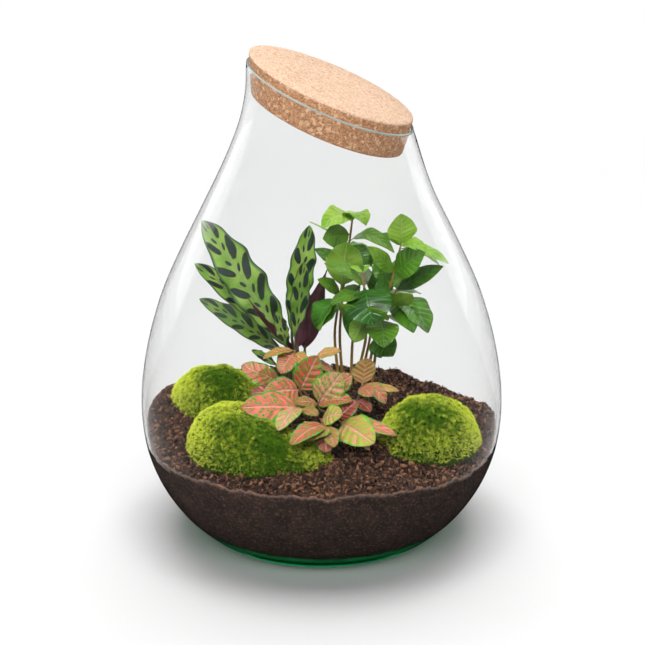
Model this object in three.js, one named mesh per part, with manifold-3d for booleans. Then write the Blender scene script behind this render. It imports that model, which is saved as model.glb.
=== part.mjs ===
// A pear-shaped glass terrarium with a slanting mouth and a cork stopper. Inside it, on a bed of
// peat soil, grow a rattlesnake calathea, a clump of young coffee plants, a pink nerve plant
// and three cushions of moss.
// Millimetres, +Z up. The origin is on the jar's axis in the plane of its base, and the side
// that is looked at is -Y.
import * as THREE from 'three';
import { mergeVertices } from 'three/addons/utils/BufferGeometryUtils.js';
import Module from 'manifold-3d';

const wasm = await Module();
wasm.setup();

// The jar
const JAR_SEGMENTS = 40;
const GLASS_WALL = 2.2;
const FLOOR_HEIGHT = 8;
// Outer radius and height of the round body, from the base to the shoulder
const BODY = [
  [77, 0], [82.5, 1.2], [89, 4.6], [97.5, 12], [107.6, 22.5], [118.6, 39], [125.8, 55],
  [130.4, 72], [132.5, 95], [130.8, 121], [124.8, 152], [114.8, 184], [101, 215], [83.8, 250],
];
// Height and outer radius of the neck, as its left side shows them
const NECK = [[250, 83.8], [265, 76.5], [280, 69.4], [295, 63.2], [310, 57.9], [325, 54.3],
  [340, 52.6], [360, 52.6]];
const NECK_START = 250;
const RIM_LEFT_HEIGHT = 352.2;
const RIM_RIGHT_HEIGHT = 303.4;
const RIM_RIGHT_FLARE = 4.6;
const LIP_HEIGHT = 1.2;
const LIP_ROUNDING = 0.7;
const NECK_STEPS = 5;

// The cork stopper, a taper that rests on the inner edge of the mouth
const CORK_THICKNESS = 26;
const CORK_ABOVE_MOUTH = 8;
const CORK_TAPER = 0.19;
// How far the cork moves towards the mouth's low side for each millimetre down into the neck
const CORK_LEAN = 0.28;
const CORK_EDGE = 1.2;

// The soil
const FIT_GAP = 0.35;
const SOIL_LEVEL = 77.5;
const SOIL_CLEARANCE = 0.45;
const SOIL_RINGS = [0.93, 0.8, 0.65, 0.49, 0.3];
const SOIL_SIDE_ROWS = 4;
const SOIL_RELIEF = 1.2;
// Rises and dips of the soil: centre x and y, height, and how far each one spreads
const SOIL_MOUNDS = [
  [8, 38, 14, 45], [-118, 25, 11, 34], [100, -75, -6, 30], [95, 85, -6, 34],
  [-118, -50, -6, 28], [128, 5, 7, 22], [0, 120, -5, 45],
];

// Moss cushions: seat height, rise, fall of the rise towards +X, and radii each 30 degrees
const MOSS = [
  {
    name: 'moss_front_left', centre: [-48, -58], seat: 79, rise: 27, fall: 0.011,
    radii: [54, 27, 31, 46, 54, 52, 46, 42, 38, 38, 41, 50],
  },
  {
    name: 'moss_back_left', centre: [-80, 29], seat: 83, rise: 26, fall: 0,
    radii: [33, 31, 28, 27, 29, 32, 33, 33, 33, 32, 33, 34],
  },
  {
    name: 'moss_right', centre: [79, -31], seat: 77, rise: 31, fall: 0,
    radii: [35, 34, 33, 33, 34, 35, 37, 37, 37, 38, 37, 36],
  },
];
const MOSS_SEGMENTS = 20;
const MOSS_RINGS = [0.35, 0.65, 0.88, 1];
const MOSS_SINK = 9;
const MOSS_FOOT = 0.97;
const MOSS_LUMPS = 0.9;

// Stems stand this deep in the soil, each in a hole of its own
const ROOT_DEPTH = 14;
const FOOT_RISE = 3;
const HOLE_GAP = 0.8;

// Calathea leaves: each has its own stalk from the soil, and a long blade with waved edges.
// `face` is the way that the upper side looks, and `arch` how far the rib bows towards it.
const CALATHEA = [
  { name: 'big_left', root: [-24, 54], base: [-25, 47, 122], tip: [-86, 5, 234],
    width: 31, arch: 1, face: [0.35, -0.85, 0.4] },
  { name: 'mid_left', root: [-29, 60], base: [-27, 60, 123], tip: [-94, 34, 192],
    width: 19, arch: 4, face: [0.3, -0.8, 0.5] },
  { name: 'low_left', root: [-32, 45], base: [-30, 38, 120], tip: [-88, -8, 179],
    width: 17, arch: 4, face: [0.2, -0.75, 0.6] },
  { name: 'rolled', root: [-20, 37], base: [-22, 29, 125], tip: [-54, 8, 175],
    kind: 'rolled', width: 13, arch: -3, face: [0.5, 0.6, 0.6] },
  { name: 'tall_centre', root: [-15, 64], base: [-23, 64, 128], tip: [-9, 60, 213],
    width: 20, arch: -2, face: [0.15, -1, 0.2] },
  { name: 'front_centre', root: [-9, 52], base: [-20, 50, 126], tip: [-13, 43, 190],
    width: 14, arch: -3, face: [0, -1, 0.15] },
  { name: 'turned_right', root: [-5, 58], base: [-13, 54, 117], tip: [4, 48, 182],
    kind: 'rolled', width: 19, arch: 3, face: [-0.1, 0.95, 0.2] },
  { name: 'turned_small', root: [-9, 46], base: [-18, 44, 122], tip: [-13, 40, 148],
    kind: 'rolled', width: 8, arch: 0, face: [0.3, 0.9, 0.2] },
  { name: 'small_front', root: [-27, 30], base: [-26, 20, 131], tip: [-33, 10, 163],
    width: 10, arch: 1, face: [0.2, -0.9, 0.4] },
  { name: 'low_small', root: [-37, 36], base: [-34, 30, 113], tip: [-52, 22, 128],
    width: 7, arch: 1, face: [0.1, -0.7, 0.7] },
  { name: 'back_left', root: [-27, 71], base: [-27, 76, 116], tip: [-67, 85, 175],
    width: 20, arch: 3, face: [0.4, -0.4, 0.8] },
  { name: 'back_centre', root: [-14, 75], base: [-20, 80, 118], tip: [-17, 100, 179],
    width: 18, arch: 3, face: [0.1, -0.6, 0.8] },
];

// Coffee seedlings: the stem's points from the soil up, and its leaves, which leave it `at` a
// share of the way along those points
const COFFEE = [
  {
    name: 'left', stem: [[13, 58], [10, 56, 125], [12, 54, 148], [15, 50, 168]],
    leaves: [
      { at: 0.98, tip: [19, 44, 205], width: 24, arch: 2, face: [0.1, 0.9, 0.35] },
      { at: 0.9, tip: [-3, 38, 178], width: 10, arch: 2, face: [0.1, -0.7, 0.7] },
      { at: 0.82, tip: [-4, 40, 138], width: 20, arch: 5, face: [-0.6, -0.6, 0.5] },
      { at: 0.74, tip: [-1, 32, 140], width: 18, arch: 3, face: [0.2, 0.7, 0.6] },
      { at: 0.85, tip: [29, 44, 170], width: 9, arch: 1, face: [-0.2, -0.6, 0.7] },
    ],
  },
  {
    name: 'tall', stem: [[16, 67], [14, 69, 124], [17, 67, 165], [21, 64, 199], [23, 61, 217]],
    leaves: [
      { at: 1, tip: [0, 48, 215], width: 18, arch: 8, face: [-0.2, -0.5, 0.9] },
      { at: 1, tip: [33, 48, 217], width: 15, arch: 7, face: [0.3, -0.4, 1] },
      { at: 1, tip: [26, 80, 217], width: 12, arch: 2, face: [0, -0.2, 1] },
      { at: 0.98, tip: [17, 50, 226], width: 8, arch: 1, face: [0.2, 0.7, 0.5] },
      { at: 0.82, tip: [1, 50, 206], width: 16, arch: 0, face: [-0.1, -0.9, 0.3] },
      { at: 0.75, tip: [-9, 76, 211], width: 6, arch: 0, face: [-0.3, 0.3, 0.9] },
      { at: 0.75, tip: [54, 44, 197], width: 13, arch: 11, face: [0.1, -0.45, 1] },
      { at: 0.72, tip: [35, 56, 184], width: 14, arch: 1, face: [0.2, -0.9, 0.3] },
      { at: 0.6, tip: [-5, 68, 192], width: 9, arch: 2, face: [-0.2, -0.8, 0.5] },
      { at: 0.68, tip: [40, 92, 183], width: 14, arch: 3, face: [0.1, -0.3, 1] },
      { at: 0.55, tip: [4, 98, 178], width: 17, arch: 4, face: [0, -0.2, 1] },
    ],
  },
  {
    name: 'back', stem: [[23, 76], [24, 80, 114], [28, 82, 148], [31, 84, 176]],
    leaves: [
      { at: 0.98, tip: [27, 94, 188], width: 15, arch: 1, face: [0.1, -0.8, 0.5] },
      { at: 0.98, tip: [48, 97, 177], width: 17, arch: 3, face: [-0.1, -0.7, 0.6] },
      { at: 0.92, tip: [13, 110, 167], width: 17, arch: 3, face: [0, -0.2, 1] },
      { at: 0.64, tip: [24, 42, 127], width: 18, arch: 4, face: [0, -0.9, 0.4] },
      { at: 0.5, tip: [11, 112, 127], width: 18, arch: 5, face: [0, 0.3, 1] },
      { at: 0.85, tip: [38, 52, 178], width: 13, arch: 1, face: [0, -0.9, 0.4] },
    ],
  },
  {
    name: 'front', stem: [[26, 50], [33, 40, 129], [33, 37, 149], [32, 36, 167], [31, 36, 185]],
    leaves: [
      { at: 0.98, tip: [21, 32, 190], width: 5, arch: 1, face: [0, -0.5, 1] },
      { at: 0.98, tip: [36, 32, 191], width: 5, arch: 1, face: [0, -0.5, 1] },
      { at: 0.83, tip: [2, 28, 194], width: 12, arch: 5, face: [0, -0.5, 1] },
      { at: 0.5, tip: [13, 22, 165], width: 15, arch: -2, face: [0, 0.6, 0.8] },
      { at: 0.5, tip: [46, 18, 160], width: 20, arch: -1, face: [0, 0.9, 0.4] },
      { at: 0.82, tip: [38, 20, 149], width: 30, arch: 4, face: [0, -1, 0.3] },
      { at: 0.5, tip: [24, 28, 132], width: 14, arch: 1, face: [0, 0.9, 0.3] },
      { at: 0.74, tip: [7, 24, 164], width: 13, arch: 3, face: [0, -0.25, 1] },
    ],
  },
  {
    name: 'back_right', stem: [[31, 72], [37, 78, 115], [42, 86, 145]],
    leaves: [
      { at: 0.98, tip: [50, 98, 170], width: 18, arch: 3, face: [0, -0.7, 0.7] },
      { at: 0.98, tip: [61, 100, 146], width: 19, arch: 4, face: [0, 0, 1] },
      { at: 0.95, tip: [35, 111, 138], width: 17, arch: 4, face: [0, 0.2, 1] },
      { at: 0.76, tip: [60, 103, 120], width: 18, arch: 4, face: [0, 0.3, 1] },
    ],
  },
  {
    name: 'right_tall', stem: [[34, 56], [41, 52, 129], [48, 50, 155], [54, 48, 180], [59, 48, 201]],
    leaves: [
      { at: 1, tip: [59, 48, 226], width: 20, arch: 1, face: [0.35, -0.9, 0.35] },
      { at: 1, tip: [45, 44, 212], width: 6, arch: 2, face: [-0.2, -0.5, 0.8] },
      { at: 1, tip: [77, 36, 200], width: 12, arch: 5, face: [0.1, -0.4, 1] },
      { at: 0.97, tip: [94, 34, 192], width: 12, arch: 5, face: [0.2, -0.3, 1] },
      { at: 0.95, tip: [90, 55, 181], width: 9, arch: 6, face: [0.2, -0.2, 1] },
      { at: 0.74, tip: [76, 30, 202], width: 18, arch: 2, face: [-0.2, -0.8, 0.5] },
      { at: 0.74, tip: [34, 34, 205], width: 11, arch: 2, face: [0.4, -0.8, 0.4] },
      { at: 0.68, tip: [40, 54, 190], width: 14, arch: 1, face: [-0.1, -0.9, 0.3] },
      { at: 0.62, tip: [39, 38, 170], width: 17, arch: 2, face: [-0.2, -0.9, 0.3] },
      { at: 0.5, tip: [67, 25, 171], width: 16, arch: -2, face: [0, 0.9, 0.35] },
      { at: 0.6, tip: [70, 80, 184], width: 15, arch: 4, face: [0, -0.2, 1] },
      { at: 0.36, tip: [46, 22, 130], width: 21, arch: 4, face: [0.1, -0.9, 0.4] },
      { at: 0.23, tip: [54, 38, 117], width: 18, arch: 2, face: [0.2, -0.8, 0.5] },
      { at: 0.23, tip: [45, 42, 114], width: 11, arch: 2, face: [-0.2, -0.8, 0.5] },
    ],
  },
  {
    name: 'right_low', stem: [[39, 64], [42, 62, 115], [46, 61, 136], [54, 63, 152], [57, 68, 160]],
    leaves: [
      { at: 1, tip: [91, 46, 186], width: 12, arch: 3, face: [0, -0.8, 0.5] },
      { at: 0.78, tip: [69, 35, 137], width: 18, arch: 5, face: [0.2, -0.8, 0.6] },
      { at: 0.85, tip: [80, 40, 135], width: 24, arch: 6, face: [0.6, -0.6, 0.5] },
      { at: 0.95, tip: [76, 86, 150], width: 14, arch: 2, face: [0, -0.2, 1] },
      { at: 0.98, tip: [63, 94, 162], width: 17, arch: 3, face: [0, -0.2, 1] },
    ],
  },
];

// Nerve plant stems, which lie low and carry broad leaves
const FITTONIA = [
  {
    name: 'left_back', stem: [[-13, 4], [-28, -4, 103], [-32, 1, 109]],
    leaves: [
      { at: 1, tip: [-59, 6, 122], width: 17, arch: 2, face: [-0.1, -0.7, 0.7] },
      { at: 0.95, tip: [-46, -14, 124], width: 14, arch: 3, face: [0, -0.7, 0.7] },
      { at: 0.52, tip: [-52, -12, 107], width: 14, arch: 2, face: [0, -0.6, 0.8] },
    ],
  },
  {
    name: 'back', stem: [[-8, 10], [-21, 10, 115], [-20, 12, 132]],
    leaves: [
      { at: 0.98, tip: [-43, 4, 128], width: 10, arch: 3, face: [0, -0.2, 1] },
      { at: 0.95, tip: [-30, 0, 118], width: 16, arch: 2, face: [-0.3, -0.8, 0.4] },
      { at: 0.92, tip: [-11, 2, 125], width: 11, arch: 1, face: [0.3, -0.8, 0.4] },
    ],
  },
  {
    name: 'upright', stem: [[-2, 2], [-16, -8, 108], [-4, -2, 133]],
    leaves: [
      { at: 0.48, tip: [-3, -16, 138], width: 21, arch: 1, face: [-0.1, -0.9, 0.35] },
      { at: 0.5, tip: [-42, -22, 111], width: 21, arch: 3, face: [0, -0.8, 0.6] },
      { at: 0.98, tip: [14, -6, 138], width: 12, arch: 1, face: [0, -0.3, 1] },
      { at: 0.9, tip: [9, 4, 118], width: 10, arch: 1, face: [0, -0.5, 0.9] },
    ],
  },
  {
    name: 'centre', stem: [[4, -6], [-3, -16, 97], [-1, -20, 105]],
    leaves: [
      { at: 0.75, tip: [14, -30, 130], width: 25, arch: 1, face: [0.1, -0.8, 0.6] },
      { at: 0.95, tip: [22, -20, 125], width: 17, arch: 2, face: [0.1, -0.8, 0.6] },
      { at: 0.75, tip: [-21, -28, 106], width: 11, arch: 2, face: [0, -0.5, 1] },
      { at: 0.75, tip: [22, -36, 111], width: 15, arch: 3, face: [0, -0.5, 0.9] },
    ],
  },
  {
    name: 'front_left', stem: [[-11, -12], [-13, -28, 100], [-16, -36, 106]],
    leaves: [
      { at: 0.9, tip: [-57, -54, 113], width: 24, arch: 2, face: [0, -0.7, 0.7] },
      { at: 0.95, tip: [-30, -74, 104], width: 17, arch: 3, face: [-0.3, -0.6, 0.7] },
      { at: 0.8, tip: [-3, -52, 106], width: 11, arch: 1, face: [0.1, -0.5, 0.9] },
    ],
  },
  {
    name: 'front', stem: [[2, -18], [0, -44, 99], [3, -54, 99]],
    leaves: [
      { at: 0.45, tip: [15, -54, 108], width: 18, arch: 2, face: [0, -0.6, 0.8] },
      { at: 0.98, tip: [-12, -78, 98], width: 21, arch: 3, face: [-0.2, -0.6, 0.7] },
      { at: 0.95, tip: [-21, -90, 100], width: 17, arch: 4, face: [-0.2, -0.5, 0.8] },
      { at: 1, tip: [9, -78, 93], width: 13, arch: 2, face: [0.1, -0.7, 0.6] },
      { at: 1, tip: [3, -76, 88], width: 17, arch: 2, face: [0, -0.6, 0.7] },
    ],
  },
  {
    name: 'front_right', stem: [[11, -13], [11, -32, 96], [15, -40, 95]],
    leaves: [
      { at: 0.95, tip: [37, -74, 94], width: 25, arch: 3, face: [0, -0.8, 0.55] },
      { at: 0.85, tip: [46, -54, 93], width: 16, arch: 3, face: [0, -0.5, 0.9] },
      { at: 0.9, tip: [53, -62, 95], width: 13, arch: 4, face: [0, -0.4, 1] },
      { at: 1, tip: [34, -74, 89], width: 10, arch: 2, face: [0, -0.5, 0.8] },
      { at: 0.65, tip: [26, -32, 109], width: 14, arch: 2, face: [0, -0.6, 0.8] },
    ],
  },
  {
    name: 'right_back', stem: [[14, 2], [25, -6, 98], [30, -4, 111]],
    leaves: [
      { at: 0.98, tip: [33, -8, 133], width: 18, arch: 1, face: [-0.2, 0.9, 0.3] },
      { at: 0.95, tip: [37, -20, 108], width: 13, arch: 1, face: [0, -0.7, 0.6] },
      { at: 0.98, tip: [47, -12, 99], width: 14, arch: 5, face: [0.3, -0.5, 0.8] },
      { at: 0.9, tip: [57, -2, 105], width: 9, arch: 2, face: [0, -0.4, 1] },
      { at: 0.55, tip: [36, -20, 96], width: 11, arch: 2, face: [0, -0.5, 0.8] },
      { at: 0.98, tip: [33, 24, 106], width: 13, arch: 3, face: [0, 0, 1] },
    ],
  },
];

// How each kind of leaf is cut: thickness, fold of its two halves, waves of its edge, and the
// half width along its length as a share of the widest place
const KINDS = {
  calathea: {
    thickness: 0.9, fold: 0.12, waves: 4.5, waveHeight: 0.055, ripple: 0.05,
    outline: (s) => Math.max(0.05, Math.sin(Math.PI * s ** 1.1) ** 0.6),
  },
  rolled: {
    thickness: 0.9, fold: 0.5, waves: 2.5, waveHeight: 0.05, ripple: 0.04,
    outline: (s) => Math.max(0.05, Math.sin(Math.PI * s ** 0.6) ** 1.3),
  },
  coffee: {
    thickness: 0.8, fold: 0.16, waves: 3, waveHeight: 0.05, ripple: 0.04,
    outline: (s) => petioled(s, 0.07, (u) => Math.sin(Math.PI * u ** 0.88) ** 0.6 * (1 - 0.2 * u ** 5)),
  },
  fittonia: {
    thickness: 0.8, fold: 0.12, waves: 2.5, waveHeight: 0.03, ripple: 0.03,
    outline: (s) => petioled(s, 0.08, (u) => Math.sin(Math.PI * u ** 0.82) ** 0.55),
  },
};
const BLADE_COLUMNS = 3;
const CALATHEA_ROWS = 12;
const SMALL_CALATHEA_ROWS = 7;
const SMALL_CALATHEA_WIDTH = 13;
const COFFEE_ROWS = [0, 0.12, 0.36, 0.68, 1];
const FITTONIA_ROWS = [0, 0.16, 0.42, 0.72, 1];
const CALATHEA_STALK = 1.4;
const COFFEE_STEM = 1.3;
const FITTONIA_STEM = 1.2;
const STEM_SIDES = 5;
const STALK_STEPS = 4;
// How far up its blade a calathea stalk reaches, as a share of the blade's length
const STALK_REACH = 0.04;

const COLOURS = {
  glass: 0xdfe9e6, cork: 0xd0a070, soil: 0x2e1c14, moss: 0x6f9a1e,
  calathea: 0x3f7f2a, coffee: 0x2f7d1f, fittonia: 0xd96a63,
};

function petioled(s, stalk, shape) {
  if (s < stalk) {
    return stalk;
  }
  return Math.max(stalk, shape((s - stalk) / (1 - stalk)));
}

function closedGeometry(points, triangles) {
  const geometry = new THREE.BufferGeometry();
  const flat = points.flatMap((p) => [p.x, p.y, p.z]);
  geometry.setAttribute('position', new THREE.Float32BufferAttribute(flat, 3));
  geometry.setIndex(triangles);
  return geometry;
}

// A solid between rings of equal count. The first and the last ring are single points.
function ringSolid(rings) {
  const points = [];
  const starts = [];
  for (const ring of rings) {
    starts.push(points.length);
    points.push(...ring);
  }
  const triangles = [];
  for (let row = 0; row + 1 < rings.length; row += 1) {
    const lower = rings[row].length;
    const upper = rings[row + 1].length;
    const count = Math.max(lower, upper);
    for (let i = 0; i < count; i += 1) {
      const next = (i + 1) % count;
      const a = starts[row] + (lower === 1 ? 0 : i);
      const b = starts[row] + (lower === 1 ? 0 : next);
      const c = starts[row + 1] + (upper === 1 ? 0 : i);
      const d = starts[row + 1] + (upper === 1 ? 0 : next);
      if (lower > 1) {
        triangles.push(a, b, d);
      }
      if (upper > 1) {
        triangles.push(a, d, c);
      }
    }
  }
  return closedGeometry(points, triangles);
}

function toSolid(geometry) {
  const bare = geometry.clone();
  bare.deleteAttribute('normal');
  bare.deleteAttribute('uv');
  const merged = mergeVertices(bare, 1e-4);
  return new wasm.Manifold(new wasm.Mesh({
    numProp: 3,
    vertProperties: new Float32Array(merged.attributes.position.array),
    triVerts: new Uint32Array(merged.index.array),
  }));
}

function fromSolid(solid) {
  const mesh = solid.getMesh();
  const geometry = new THREE.BufferGeometry();
  const flat = Float32Array.from(mesh.vertProperties);
  geometry.setAttribute('position', new THREE.Float32BufferAttribute(flat, 3));
  geometry.setIndex(Array.from(mesh.triVerts));
  return geometry;
}

// The largest closed surface of a joined solid, which fills any bubble sealed in by the joining
function wholeBody(solid) {
  return solid.decompose().reduce((best, piece) => (
    piece.volume() > best.volume() ? piece : best
  ));
}

function interpolate(rows, value, from, to) {
  for (let i = 0; i + 1 < rows.length; i += 1) {
    if (value <= rows[i + 1][from]) {
      const share = (value - rows[i][from]) / (rows[i + 1][from] - rows[i][from]);
      return THREE.MathUtils.lerp(rows[i][to], rows[i + 1][to], share);
    }
  }
  return rows[rows.length - 1][to];
}

// One level of the jar: the centre, the outer radius and the tilt of its round section
function bodySection([radius, height]) {
  return { x: 0, z: height, radius, tilt: 0 };
}

function neckSection(share) {
  const left = THREE.MathUtils.lerp(NECK_START, RIM_LEFT_HEIGHT, share);
  const right = THREE.MathUtils.lerp(NECK_START, RIM_RIGHT_HEIGHT, share);
  const flare = RIM_RIGHT_FLARE * THREE.MathUtils.smoothstep(share, 0, 1);
  const leftX = -interpolate(NECK, left, 0, 1);
  const rightX = interpolate(NECK, right, 0, 1) + flare;
  return {
    x: (leftX + rightX) / 2,
    z: (left + right) / 2,
    radius: Math.hypot(rightX - leftX, left - right) / 2,
    tilt: Math.atan2(left - right, rightX - leftX),
  };
}

function ring(section, radius, lift) {
  const points = [];
  for (let i = 0; i < JAR_SEGMENTS; i += 1) {
    const angle = (2 * Math.PI * i) / JAR_SEGMENTS;
    const along = radius * Math.cos(angle);
    points.push(new THREE.Vector3(
      section.x + along * Math.cos(section.tilt) + lift * Math.sin(section.tilt),
      radius * Math.sin(angle),
      section.z - along * Math.sin(section.tilt) + lift * Math.cos(section.tilt),
    ));
  }
  return points;
}

const sections = BODY.map(bodySection);
for (let i = 1; i <= NECK_STEPS; i += 1) {
  sections.push(neckSection(i / NECK_STEPS));
}
const mouth = sections[sections.length - 1];

// The inside of the wall at one level, square to the glass
function innerPlace(index) {
  const section = sections[index];
  const before = sections[Math.max(index - 1, 0)];
  const after = sections[Math.min(index + 1, sections.length - 1)];
  const rise = Math.hypot(after.x - before.x, after.z - before.z);
  const slope = index + 1 === sections.length ? 0 : (after.radius - before.radius) / rise;
  const square = Math.hypot(1, slope);
  return {
    section,
    radius: section.radius - GLASS_WALL / square,
    lift: (GLASS_WALL * slope) / square,
  };
}

const firstInner = BODY.findIndex(([, height]) => height > FLOOR_HEIGHT);
// The inside is plainer than the outside: it has every second level, and the one at the rim
const innerPlaces = sections.map((_, index) => innerPlace(index))
  .filter((_, index) => index >= firstInner && (sections.length - 1 - index) % 2 === 0);
const floorCorner = [{ radius: 82, height: FLOOR_HEIGHT }, { radius: 91, height: FLOOR_HEIGHT + 2 }];

function jarGeometry() {
  const outer = sections.map((section) => ring(section, section.radius, 0));
  const lip = [LIP_ROUNDING, GLASS_WALL - LIP_ROUNDING].map(
    (inwards) => ring(mouth, mouth.radius - inwards, LIP_HEIGHT),
  );
  const inner = innerPlaces.map((p) => ring(p.section, p.radius, p.lift)).reverse();
  const floor = [...floorCorner].reverse().map(
    ({ radius, height }) => ring(bodySection([radius, height]), radius, 0),
  );
  return ringSolid([
    [new THREE.Vector3(0, 0, 0)], ...outer, ...lip, ...inner, ...floor,
    [new THREE.Vector3(0, 0, FLOOR_HEIGHT)],
  ]);
}

// The cork's round section at a height over the mouth, which moves aside with the slanting neck
function corkSection(lift) {
  return {
    ...mouth,
    x: mouth.x - CORK_LEAN * lift * Math.cos(mouth.tilt),
    z: mouth.z + CORK_LEAN * lift * Math.sin(mouth.tilt),
  };
}

function corkGeometry() {
  const seat = mouth.radius - GLASS_WALL - FIT_GAP;
  const low = CORK_ABOVE_MOUTH - CORK_THICKNESS;
  const high = CORK_ABOVE_MOUTH;
  const level = (lift, inwards = 0) => (
    ring(corkSection(lift), seat + CORK_TAPER * lift - inwards, lift)
  );
  const centre = (lift) => [ring(corkSection(lift), 0, lift)[0]];
  return ringSolid([
    centre(low), level(low, CORK_EDGE), level(low + CORK_EDGE),
    level(high - CORK_EDGE), level(high, CORK_EDGE), centre(high),
  ]);
}

function innerRadius(height) {
  const rows = [
    ...floorCorner.map((p) => [p.height, p.radius]),
    ...innerPlaces.map((p) => [p.section.z + p.lift, p.radius]),
  ];
  return interpolate(rows, height, 0, 1);
}

function soilHeight(x, y) {
  const mounds = SOIL_MOUNDS.reduce((sum, [mx, my, height, spread]) => (
    sum + height * Math.exp(-((x - mx) ** 2 + (y - my) ** 2) / (2 * spread ** 2))
  ), 0);
  const clods = Math.sin(x / 7 + 1.3 * Math.sin(y / 11)) * Math.cos(y / 8 + 0.9 * Math.sin(x / 13));
  return SOIL_LEVEL + mounds + SOIL_RELIEF * clods;
}

function soilGeometry(raised) {
  const edge = [];
  for (let i = 0; i < JAR_SEGMENTS; i += 1) {
    const angle = (2 * Math.PI * i) / JAR_SEGMENTS;
    const reach = innerRadius(SOIL_LEVEL) - SOIL_CLEARANCE;
    const height = soilHeight(reach * Math.cos(angle), reach * Math.sin(angle));
    edge.push({ angle, height });
  }
  const floor = FLOOR_HEIGHT + FIT_GAP;
  const rings = [[new THREE.Vector3(0, 0, floor)]];
  for (let row = 0; row <= SOIL_SIDE_ROWS; row += 1) {
    rings.push(edge.map(({ angle, height }) => {
      const z = THREE.MathUtils.lerp(floor, height, row / SOIL_SIDE_ROWS);
      const radius = row === 0 ? floorCorner[0].radius : innerRadius(z) - SOIL_CLEARANCE;
      const lift = row === SOIL_SIDE_ROWS ? raised : 0;
      return new THREE.Vector3(radius * Math.cos(angle), radius * Math.sin(angle), z + lift);
    }));
  }
  for (const share of SOIL_RINGS) {
    rings.push(edge.map(({ angle, height }) => {
      const radius = share * (innerRadius(height) - SOIL_CLEARANCE);
      const x = radius * Math.cos(angle);
      const y = radius * Math.sin(angle);
      return new THREE.Vector3(x, y, soilHeight(x, y) + raised);
    }));
  }
  rings.push([new THREE.Vector3(0, 0, soilHeight(0, 0) + raised)]);
  return ringSolid(rings);
}

// The radius of a moss cushion at an angle, a smooth curve through its radii
function mossReach(radii, turn) {
  const count = radii.length;
  const place = ((turn / (2 * Math.PI)) * count + count) % count;
  const i = Math.floor(place);
  const s = place - i;
  const [a, b, c, d] = [-1, 0, 1, 2].map((k) => radii[(i + k + count) % count]);
  return b + 0.5 * s * (c - a + s * (2 * a - 5 * b + 4 * c - d + s * (3 * (b - c) + d - a)));
}

function mossGeometry({ centre, seat, rise, fall, radii }) {
  const [cx, cy] = centre;
  const rings = [[new THREE.Vector3(cx, cy, seat - MOSS_SINK)]];
  const level = (share) => {
    const points = [];
    for (let i = 0; i < MOSS_SEGMENTS; i += 1) {
      const angle = (2 * Math.PI * i) / MOSS_SEGMENTS;
      const reach = share * mossReach(radii, angle);
      const x = reach * Math.cos(angle);
      const y = reach * Math.sin(angle);
      const dome = rise * (1 - fall * x) * (1 - Math.min(share, 1) ** 3) ** 0.6;
      const lump = MOSS_LUMPS * (1 - share) * Math.sin((cx + x) / 5) * Math.cos((cy + y) / 4.4);
      points.push(new THREE.Vector3(cx + x, cy + y, seat + dome + lump));
    }
    return points;
  };
  rings.push(level(MOSS_FOOT).map((p) => new THREE.Vector3(p.x, p.y, seat - MOSS_SINK)));
  for (const share of [...MOSS_RINGS].reverse()) {
    rings.push(level(share));
  }
  rings.push([new THREE.Vector3(cx, cy, seat + rise)]);
  return ringSolid(rings);
}

// A leaf blade: a grid across and along its rib, with a lower side that is triangled alike
function bladeGeometry(kind, base, leaf, rows) {
  const { thickness, fold, waves, waveHeight, ripple, outline } = KINDS[kind];
  const columns = BLADE_COLUMNS;
  const tip = new THREE.Vector3(...leaf.tip);
  const chord = tip.clone().sub(base).normalize();
  const face = new THREE.Vector3(...leaf.face);
  face.addScaledVector(chord, -face.dot(chord)).normalize();
  const middle = base.clone().add(tip).multiplyScalar(0.5).addScaledVector(face, 2 * leaf.arch);
  const rib = new THREE.QuadraticBezierCurve3(base, middle, tip);
  const points = [];
  for (const side of [0.5, -0.5]) {
    for (const s of rows) {
      const along = rib.getTangent(s);
      const across = along.clone().cross(face).normalize();
      const up = across.clone().cross(along);
      const phase = 2 * Math.PI * waves * s;
      const half = (leaf.width / 2) * outline(s) * (1 + ripple * Math.sin(phase + 1));
      for (let i = 0; i < columns; i += 1) {
        const u = (2 * i) / (columns - 1) - 1;
        const swell = Math.sin(Math.PI * s) * leaf.width * waveHeight;
        const wave = swell * u * u * Math.sin(phase + (u > 0 ? 0 : 1.6));
        const lift = fold * half * Math.abs(u) + wave + side * thickness;
        points.push(rib.getPoint(s).addScaledVector(across, half * u).addScaledVector(up, lift));
      }
    }
  }
  const under = rows.length * columns;
  const at = (row, column) => row * columns + column;
  const triangles = [];
  const quad = (a, b, c, d) => triangles.push(a, b, c, b, d, c);
  for (let row = 0; row + 1 < rows.length; row += 1) {
    for (let i = 0; i + 1 < columns; i += 1) {
      const [a, b, c, d] = [at(row, i), at(row, i + 1), at(row + 1, i), at(row + 1, i + 1)];
      quad(a, b, c, d);
      triangles.push(a + under, c + under, b + under, b + under, c + under, d + under);
    }
    for (const [i, flip] of [[0, false], [columns - 1, true]]) {
      const [a, c] = flip ? [at(row + 1, i), at(row, i)] : [at(row, i), at(row + 1, i)];
      quad(a, c, a + under, c + under);
    }
  }
  for (let i = 0; i + 1 < columns; i += 1) {
    quad(at(0, i), at(0, i) + under, at(0, i + 1), at(0, i + 1) + under);
    const last = rows.length - 1;
    quad(at(last, i + 1), at(last, i + 1) + under, at(last, i), at(last, i) + under);
  }
  return { geometry: closedGeometry(points, triangles), rib };
}

// A course of straight pieces, along which a tube has one ring at each point
class PointCourse extends THREE.Curve {
  constructor(points) {
    super();
    this.points = points;
  }

  getPoint(t, target = new THREE.Vector3()) {
    const place = t * (this.points.length - 1);
    const i = Math.min(Math.floor(place), this.points.length - 2);
    return target.lerpVectors(this.points[i], this.points[i + 1], place - i);
  }

  getPointAt(t, target) {
    return this.getPoint(t, target);
  }

  getTangentAt(t, target) {
    return this.getTangent(t, target);
  }
}

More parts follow.
